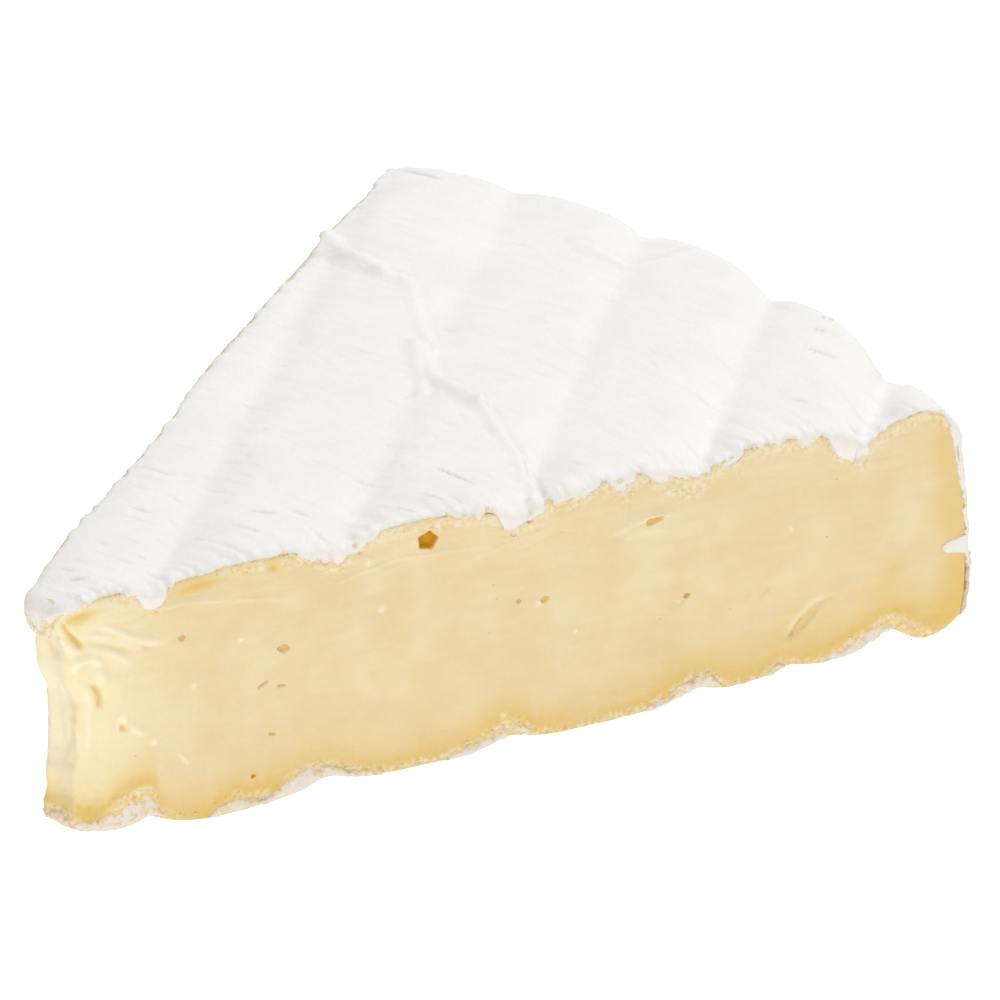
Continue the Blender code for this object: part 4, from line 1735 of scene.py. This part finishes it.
@dataclass
class Crumbs:
    """Loose crumbs of rind and small nubs of paste that cling to the cuts.

    Attributes:
        wedge: The wedge's form.
        name: The piece's name.
        seed: Seed of the draws and of the lumps.
        foot_count: Crumbs by the lower rind.
        lip_count: Crumbs by the upper rind.
        face_count: Crumbs on the shown cut.
        foot_range: Radii between which the first lie.
        lip_range: Radii between which the second lie.
        face_range: Radii between which the third lie.
        face_heights: Heights between which they lie.
        sizes: Smallest and largest radius of a crumb by a rind.
        face_sizes: Smallest and largest radius of one on the cut.
    """

    wedge: Wedge
    name: str = "crumbs"
    seed: int = 8
    foot_count: int = 90
    lip_count: int = 60
    face_count: int = 12
    foot_range: Pair = (9.0, 119.0)
    lip_range: Pair = (8.0, 114.0)
    face_range: Pair = (10.0, 116.0)
    face_heights: Pair = (6.0, 27.0)
    sizes: Pair = (0.06, 0.16)
    face_sizes: Pair = (0.07, 0.13)

    def build(self) -> Piece:
        """Models one crumb, copies it to every place and joins the copies.

        Returns:
            The finished piece.
        """
        draw = np.random.default_rng(self.seed)
        bpy.ops.object.select_all(action="DESELECT")
        bpy.ops.mesh.primitive_ico_sphere_add(subdivisions=2, radius=1.0)
        first = bpy.context.object
        shape = read_points(first)
        noise = GradientNoise(self.seed)
        copies = []
        for at, size in self.places(draw):
            shift = draw.uniform(-40.0, 40.0, 3)
            lumpy = 1.0 + 0.45 * noise.layers(*(shape * 0.9 + shift).T, 1.0, 2)
            stretched = shape * lumpy[:, None] * draw.uniform(0.5, 1.5, 3) * size
            copy = bpy.data.objects.new(self.name, first.data.copy())
            bpy.context.scene.collection.objects.link(copy)
            write_points(copy, self.wedge.in_place(stretched + at))
            copies.append(copy)
        bpy.data.objects.remove(first, do_unlink=True)
        bpy.ops.object.select_all(action="DESELECT")
        for copy in copies:
            copy.select_set(True)
        bpy.context.view_layer.objects.active = copies[0]
        bpy.ops.object.join()
        piece = bpy.context.object
        piece.name = self.name
        piece.data.name = self.name
        piece.data.shade_smooth()
        return piece

    def places(self, draw: np.random.Generator) -> list[tuple[Array, float]]:
        """Draws the crumbs' places and sizes."""
        found = []
        for fringe, count, ends, out in (
            (LOWER_FRINGE, self.foot_count, self.foot_range, 0.03),
            (UPPER_FRINGE, self.lip_count, self.lip_range, 0.05),
        ):
            radii = draw.uniform(*ends, count)
            nowhere = np.full(count, 33.0 if fringe.side is Side.UPPER else 0.1)
            lines = fringe.line(radii, nowhere, np.zeros(count, dtype=bool))
            for radius, line in zip(radii, lines):
                height = max(0.3, line + draw.normal(0.0, 0.35))
                found.append((self.on_front(radius, height, out), draw.uniform(*self.sizes)))
        for _ in range(self.face_count):
            radius = draw.uniform(*self.face_range)
            at = self.on_front(radius, draw.uniform(*self.face_heights), 0.0)
            found.append((at, draw.uniform(*self.face_sizes)))
        return found

    def on_front(self, radius: float, height: float, out: float) -> Array:
        """Gives a point on or over the shown cut."""
        half = self.wedge.half
        out = out + float(self.wedge.sag(np.array([radius]), np.array([height]), np.array([False]))[0])
        x = radius * math.cos(half) - out * math.sin(half)
        y = -radius * math.sin(half) - out * math.cos(half)
        return np.array([x, y, height])


def colour(red: int, green: int, blue: int) -> Colour:
    """Turns a colour as seen on a screen, 0 to 255, into the shader's numbers."""
    shares = [value / 255.0 for value in (red, green, blue)]
    linear = [share / 12.92 if share <= 0.04045 else ((share + 0.055) / 1.055) ** 2.4 for share in shares]
    return (*linear, 1.0)


class Shading:
    """A material's node tree, with short calls for the nodes that the finishes share."""

    def __init__(self, name: str) -> None:
        """Starts a material with its Principled shader."""
        self.material = bpy.data.materials.new(name)
        self.material.use_nodes = True
        self.nodes = self.material.node_tree.nodes
        self.links = self.material.node_tree.links
        self.shader = self.nodes["Principled BSDF"]
        self.coordinates = self.nodes.new("ShaderNodeTexCoord").outputs["Object"]

    def attribute(self, name: str) -> Socket:
        """Reads one stored number of the mesh."""
        node = self.nodes.new("ShaderNodeAttribute")
        node.attribute_name = name
        return node.outputs["Fac"]

    def noise(self, scale: float, detail: float, stretch: tuple = (1.0, 1.0, 1.0)) -> Socket:
        """Adds noise over the object's coordinates.

        Args:
            scale: Cells for each metre.
            detail: Layers.
            stretch: How the coordinates are scaled first.

        Returns:
            The noise, about 0 to 1.
        """
        mapping = self.nodes.new("ShaderNodeMapping")
        mapping.inputs["Scale"].default_value = stretch
        self.links.new(self.coordinates, mapping.inputs["Vector"])
        node = self.nodes.new("ShaderNodeTexNoise")
        node.inputs["Scale"].default_value = scale
        node.inputs["Detail"].default_value = detail
        self.links.new(mapping.outputs["Vector"], node.inputs["Vector"])
        return node.outputs["Fac"]

    def ramp(self, value: Socket, low: float, high: float, end: float = 1.0) -> Socket:
        """Maps a value from low and high to 0 and end, clamped."""
        node = self.nodes.new("ShaderNodeMapRange")
        node.inputs["From Min"].default_value = low
        node.inputs["From Max"].default_value = high
        node.inputs["To Min"].default_value = 0.0
        node.inputs["To Max"].default_value = end
        self.links.new(value, node.inputs["Value"])
        return node.outputs["Result"]

    def mix(self, share: Socket, first: object, second: object) -> Socket:
        """Mixes two colours, each a colour or a socket."""
        node = self.nodes.new("ShaderNodeMix")
        node.data_type = "RGBA"
        self.links.new(share, node.inputs["Factor"])
        for socket, value in (("A", first), ("B", second)):
            target = [entry for entry in node.inputs if entry.name == socket and entry.type == "RGBA"][0]
            if isinstance(value, tuple):
                target.default_value = value
            else:
                self.links.new(value, target)
        return [entry for entry in node.outputs if entry.type == "RGBA"][0]

    def combine(self, operation: str, first: Socket, second: Socket) -> object:
        """Combines two numbers by a maths node's operation."""
        node = self.nodes.new("ShaderNodeMath")
        node.operation = operation
        self.links.new(first, node.inputs[0])
        self.links.new(second, node.inputs[1])
        return node.outputs[0]

    def bump(self, layers: list[tuple[Socket, float]]) -> None:
        """Chains bumps, each a height from 0 to 1 and its depth in metres, to the shader."""
        previous = None
        for height, depth in layers:
            node = self.nodes.new("ShaderNodeBump")
            node.inputs["Strength"].default_value = 1.0
            node.inputs["Distance"].default_value = depth
            self.links.new(height, node.inputs["Height"])
            if previous is not None:
                self.links.new(previous, node.inputs["Normal"])
            previous = node.outputs["Normal"]
        self.links.new(previous, self.shader.inputs["Normal"])

    def set(self, **values: object) -> None:
        """Sets the shader's own sockets, named in plain words with underscores."""
        for name, value in values.items():
            self.shader.inputs[name.replace("_", " ").title().replace("Ior", "IOR")].default_value = value


@dataclass(frozen=True)
class RindFinish:
    """White mould rind: matt, slightly downy, greyer in patches, cream where torn, tan in its slits, grooves
    and notches partly as stain and partly as painted shade, and painted shade on the rim and the cut edge.
    """

    white: Colour = colour(251, 249, 247)
    shade: Colour = colour(247, 244, 241)
    # Painted shade: the rim and the cut edge are painted this darker white.
    side: Colour = colour(236, 231, 224)
    foot: Colour = colour(234, 225, 212)
    torn: Colour = colour(238, 225, 202)
    fleshy: Colour = colour(230, 207, 162)
    # Tan of real stains, and of the shade painted into grooves, notches and slits.
    tan: Colour = colour(196, 160, 110)
    roughness: float = 0.88
    patch_scale: float = 110.0
    torn_scale: float = 1300.0
    speckle_scale: float = 1900.0
    down_scale: float = 2600.0
    ridge_scale: float = 900.0
    ridge_depth: float = 0.00012
    down_depth: float = 0.00008

    def material(self) -> bpy.types.Material:
        """Builds the finish."""
        shading = Shading("white_mould_rind")
        patches = shading.ramp(shading.noise(self.patch_scale, 3.0), 0.35, 0.7)
        base = shading.mix(patches, self.white, self.shade)
        blotches = shading.ramp(shading.noise(self.torn_scale, 3.0), 0.4, 0.6)
        torn = shading.mix(blotches, self.torn, self.fleshy)
        speckles = shading.ramp(shading.noise(self.speckle_scale, 3.0), 0.3, 0.7)
        speckled = shading.combine("ADD", shading.attribute("torn"), speckles)
        # Painted shade on the rim and the cut edge.
        base = shading.mix(shading.attribute("side"), base, self.side)
        base = shading.mix(shading.attribute("foot"), base, self.foot)
        base = shading.mix(shading.ramp(speckled, 1.0, 1.4), base, torn)
        # Tan: real stains, and painted shade in the rind's grooves, notches and slits.
        base = shading.mix(shading.attribute("stain_and_shade"), base, self.tan)
        shading.links.new(base, shading.shader.inputs["Base Color"])
        shading.set(roughness=self.roughness, subsurface_weight=0.2, subsurface_scale=0.0012)
        shading.shader.inputs["Subsurface Radius"].default_value = (1.0, 0.85, 0.7)
        shading.shader.inputs["Specular IOR Level"].default_value = 0.25
        down = shading.noise(self.down_scale, 4.0)
        ridges = shading.noise(self.ridge_scale, 3.0, (1.0, 0.45, 1.0))
        shading.bump([(ridges, self.ridge_depth), (down, self.down_depth)])
        return shading.material


@dataclass(frozen=True)
class PasteFinish:
    """Soft paste: pale yellow and satin, deeper by the rinds, creamy at the tip, amber in its holes, with
    painted shade in its gaps, hollows and grooves and painted light on the tip's face and on ridges.
    """

    body: Colour = colour(233, 215, 174)
    mottle: Colour = colour(229, 207, 159)
    # Deeper colour by the rinds, also painted as shade in the gap under the lip, in hollows and in grooves.
    golden: Colour = colour(226, 193, 110)
    creamy: Colour = colour(243, 229, 188)
    # Pale nubs and strands, and painted light on the tip's face and on ridges.
    pale: Colour = colour(250, 241, 218)
    amber: Colour = colour(210, 152, 4)
    crumb: Colour = colour(240, 228, 204)
    roughness: float = 0.42
    mottle_scale: float = 170.0
    fleck_scale: float = 1700.0
    fine_scale: float = 1800.0
    drag_scale: float = 500.0
    drag_depth: float = 0.00014
    fine_depth: float = 0.00005

    def material(self) -> bpy.types.Material:
        """Builds the finish."""
        shading = Shading("soft_paste")
        mottle = shading.ramp(shading.noise(self.mottle_scale, 4.0), 0.35, 0.7)
        base = shading.mix(mottle, self.body, self.mottle)
        base = shading.mix(shading.attribute("creamy"), base, self.creamy)
        # Golden: deeper colour by the rinds, and painted shade in gaps, hollows and grooves.
        base = shading.mix(shading.attribute("golden"), base, self.golden)
        # Paler nubs and strands, partly painted light on the tip's face and on ridges.
        base = shading.mix(shading.attribute("pale"), base, self.pale)
        flecks = shading.ramp(shading.noise(self.fleck_scale, 5.0), 0.35, 0.7, 0.9)
        flecked = shading.combine("MULTIPLY", shading.attribute("fleck"), flecks)
        base = shading.mix(flecked, base, self.crumb)
        base = shading.mix(shading.attribute("amber"), base, self.amber)
        shading.links.new(base, shading.shader.inputs["Base Color"])
        shading.set(roughness=self.roughness, subsurface_weight=0.3, subsurface_scale=0.001)
        shading.shader.inputs["Subsurface Radius"].default_value = (1.0, 0.65, 0.3)
        shading.shader.inputs["Specular IOR Level"].default_value = 0.4
        fine = shading.noise(self.fine_scale, 4.0)
        drag = shading.noise(self.drag_scale, 4.0, (0.3, 0.3, 1.0))
        shading.bump([(drag, self.drag_depth), (fine, self.fine_depth)])
        return shading.material


@dataclass(frozen=True)
class CrumbFinish:
    """Crumbs of rind and paste, between white and cream."""

    light: Colour = colour(240, 226, 198)
    dark: Colour = colour(232, 208, 160)

    def material(self) -> bpy.types.Material:
        """Builds the finish."""
        shading = Shading("crumb")
        base = shading.mix(shading.ramp(shading.noise(350.0, 2.0), 0.4, 0.62), self.light, self.dark)
        shading.links.new(base, shading.shader.inputs["Base Color"])
        shading.set(roughness=0.9, subsurface_weight=0.3, subsurface_scale=0.0008)
        shading.bump([(shading.noise(3000.0, 3.0), 0.00005)])
        return shading.material


@dataclass
class Studio:
    """The plain floor, the light and the camera at the photo's angle.

    Attributes:
        eye: The camera's place, in millimetres.
        target: The point that it looks at.
        lens: Its focal length.
        sensor: Its sensor's width.
        floor_size: The floor's side in metres.
        floor_under: How far the floor lies under the wedge, in metres.
        floor_grey: How light the floor is.
        floor_glow: How strongly the floor glows for the wedge and for the camera.
        world_strength: How bright the surround is.
        lamps: Each area light's name, place, side in metres and power in watts.
    """

    eye: Triple = (-499.096, -464.822, 390.556)
    target: Triple = (15.606, -1.382, 14.505)
    lens: float = 234.0
    sensor: float = 36.0
    floor_size: float = 4.0
    floor_under: float = 0.0001
    floor_grey: float = 0.75
    floor_glow: Pair = (0.42, 0.85)
    world_strength: float = 0.48
    lamps: tuple[tuple[str, Triple, float, float], ...] = (
        ("window", (420.0, 60.0, 620.0), 0.7, 3.0),
        ("front_fill", (-620.0, -560.0, 330.0), 0.9, 3.5),
    )

    def build(self) -> None:
        """Adds the floor, the world, the lights and the camera."""
        self.floor()
        self.world()
        for name, place, size, power in self.lamps:
            self.light(name, place, size, power)
        self.camera()

    def floor(self) -> None:
        """Adds the plain pale floor."""
        bpy.ops.object.select_all(action="DESELECT")
        bpy.ops.mesh.primitive_plane_add(size=self.floor_size, location=(0.0, 0.0, -self.floor_under))
        floor = bpy.context.object
        floor.name = "floor"
        shading = Shading("pale_floor")
        shading.set(base_color=(*[self.floor_grey] * 3, 1.0), roughness=0.9)
        shading.shader.inputs["Emission Color"].default_value = WHITE
        glow = shading.nodes.new("ShaderNodeMapRange")
        glow.inputs["To Min"].default_value, glow.inputs["To Max"].default_value = self.floor_glow
        seen = shading.nodes.new("ShaderNodeLightPath").outputs["Is Camera Ray"]
        shading.links.new(seen, glow.inputs["Value"])
        shading.links.new(glow.outputs["Result"], shading.shader.inputs["Emission Strength"])
        floor.data.materials.append(shading.material)

    def world(self) -> None:
        """Sets an even pale surround."""
        world = bpy.data.worlds.new("surround")
        world.use_nodes = True
        background = world.node_tree.nodes["Background"]
        background.inputs["Color"].default_value = WHITE
        background.inputs["Strength"].default_value = self.world_strength
        bpy.context.scene.world = world
        bpy.context.scene.view_settings.view_transform = "Standard"

    def light(self, name: str, place: Triple, size: float, power: float) -> None:
        """Adds a square area light that faces the wedge.

        Args:
            name: Its name.
            place: Its place in millimetres.
            size: Its side in metres.
            power: Its power in watts.
        """
        bpy.ops.object.light_add(type="AREA")
        light = bpy.context.object
        self.aim(light, place)
        light.name = name
        light.data.size = size
        light.data.energy = power

    def aim(self, thing: Piece, place: Triple) -> None:
        """Sets a light or the camera in its place, in millimetres, and turns it to the target."""
        thing.location = [value * MM for value in place]
        line = Vector([value * MM for value in self.target]) - thing.location
        thing.rotation_euler = line.to_track_quat("-Z", "Y").to_euler()

    def camera(self) -> None:
        """Adds the camera."""
        camera = bpy.data.objects.new("camera", bpy.data.cameras.new("camera"))
        bpy.context.scene.collection.objects.link(camera)
        self.aim(camera, self.eye)
        camera.data.lens = self.lens
        camera.data.sensor_width = self.sensor
        camera.data.clip_end = 10.0
        bpy.context.scene.camera = camera


def place_piece(piece: Piece, material: bpy.types.Material) -> None:
    """Dresses a finished piece and puts it in the solid's place.

    Args:
        piece: The piece.
        material: Its finish.
    """
    piece.data.materials.clear()
    piece.data.materials.append(material)
    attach(piece, BODY)
    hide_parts(WEDGE_NODE)
    piece.data.calc_loop_triangles()
    LOG.info("%s: %d triangles", piece.name, len(piece.data.loop_triangles))


def main() -> None:
    """Builds the pieces in order."""
    wedge = Wedge()
    rind = RindFinish().material()
    upper = RindSheet(
        wedge,
        UPPER_FRINGE,
        "upper_rind",
        rows=330,
        shoulder_rows=16,
        rim_rows=64,
        columns=120,
        rim_to=0.24,
    )
    place_piece(upper.build(), rind)
    lower = RindSheet(
        wedge,
        LOWER_FRINGE,
        "lower_rind",
        rows=330,
        shoulder_rows=12,
        rim_rows=20,
        columns=60,
        rim_to=0.30,
        tucked=0.05,
        droop=0.8,
        tip_bulge_out=0.5,
    )
    place_piece(lower.build(), rind)
    place_piece(PasteBody(wedge).build(), PasteFinish().material())
    place_piece(Crumbs(wedge).build(), CrumbFinish().material())
    Studio().build()


if __name__ == "__main__":
    main()
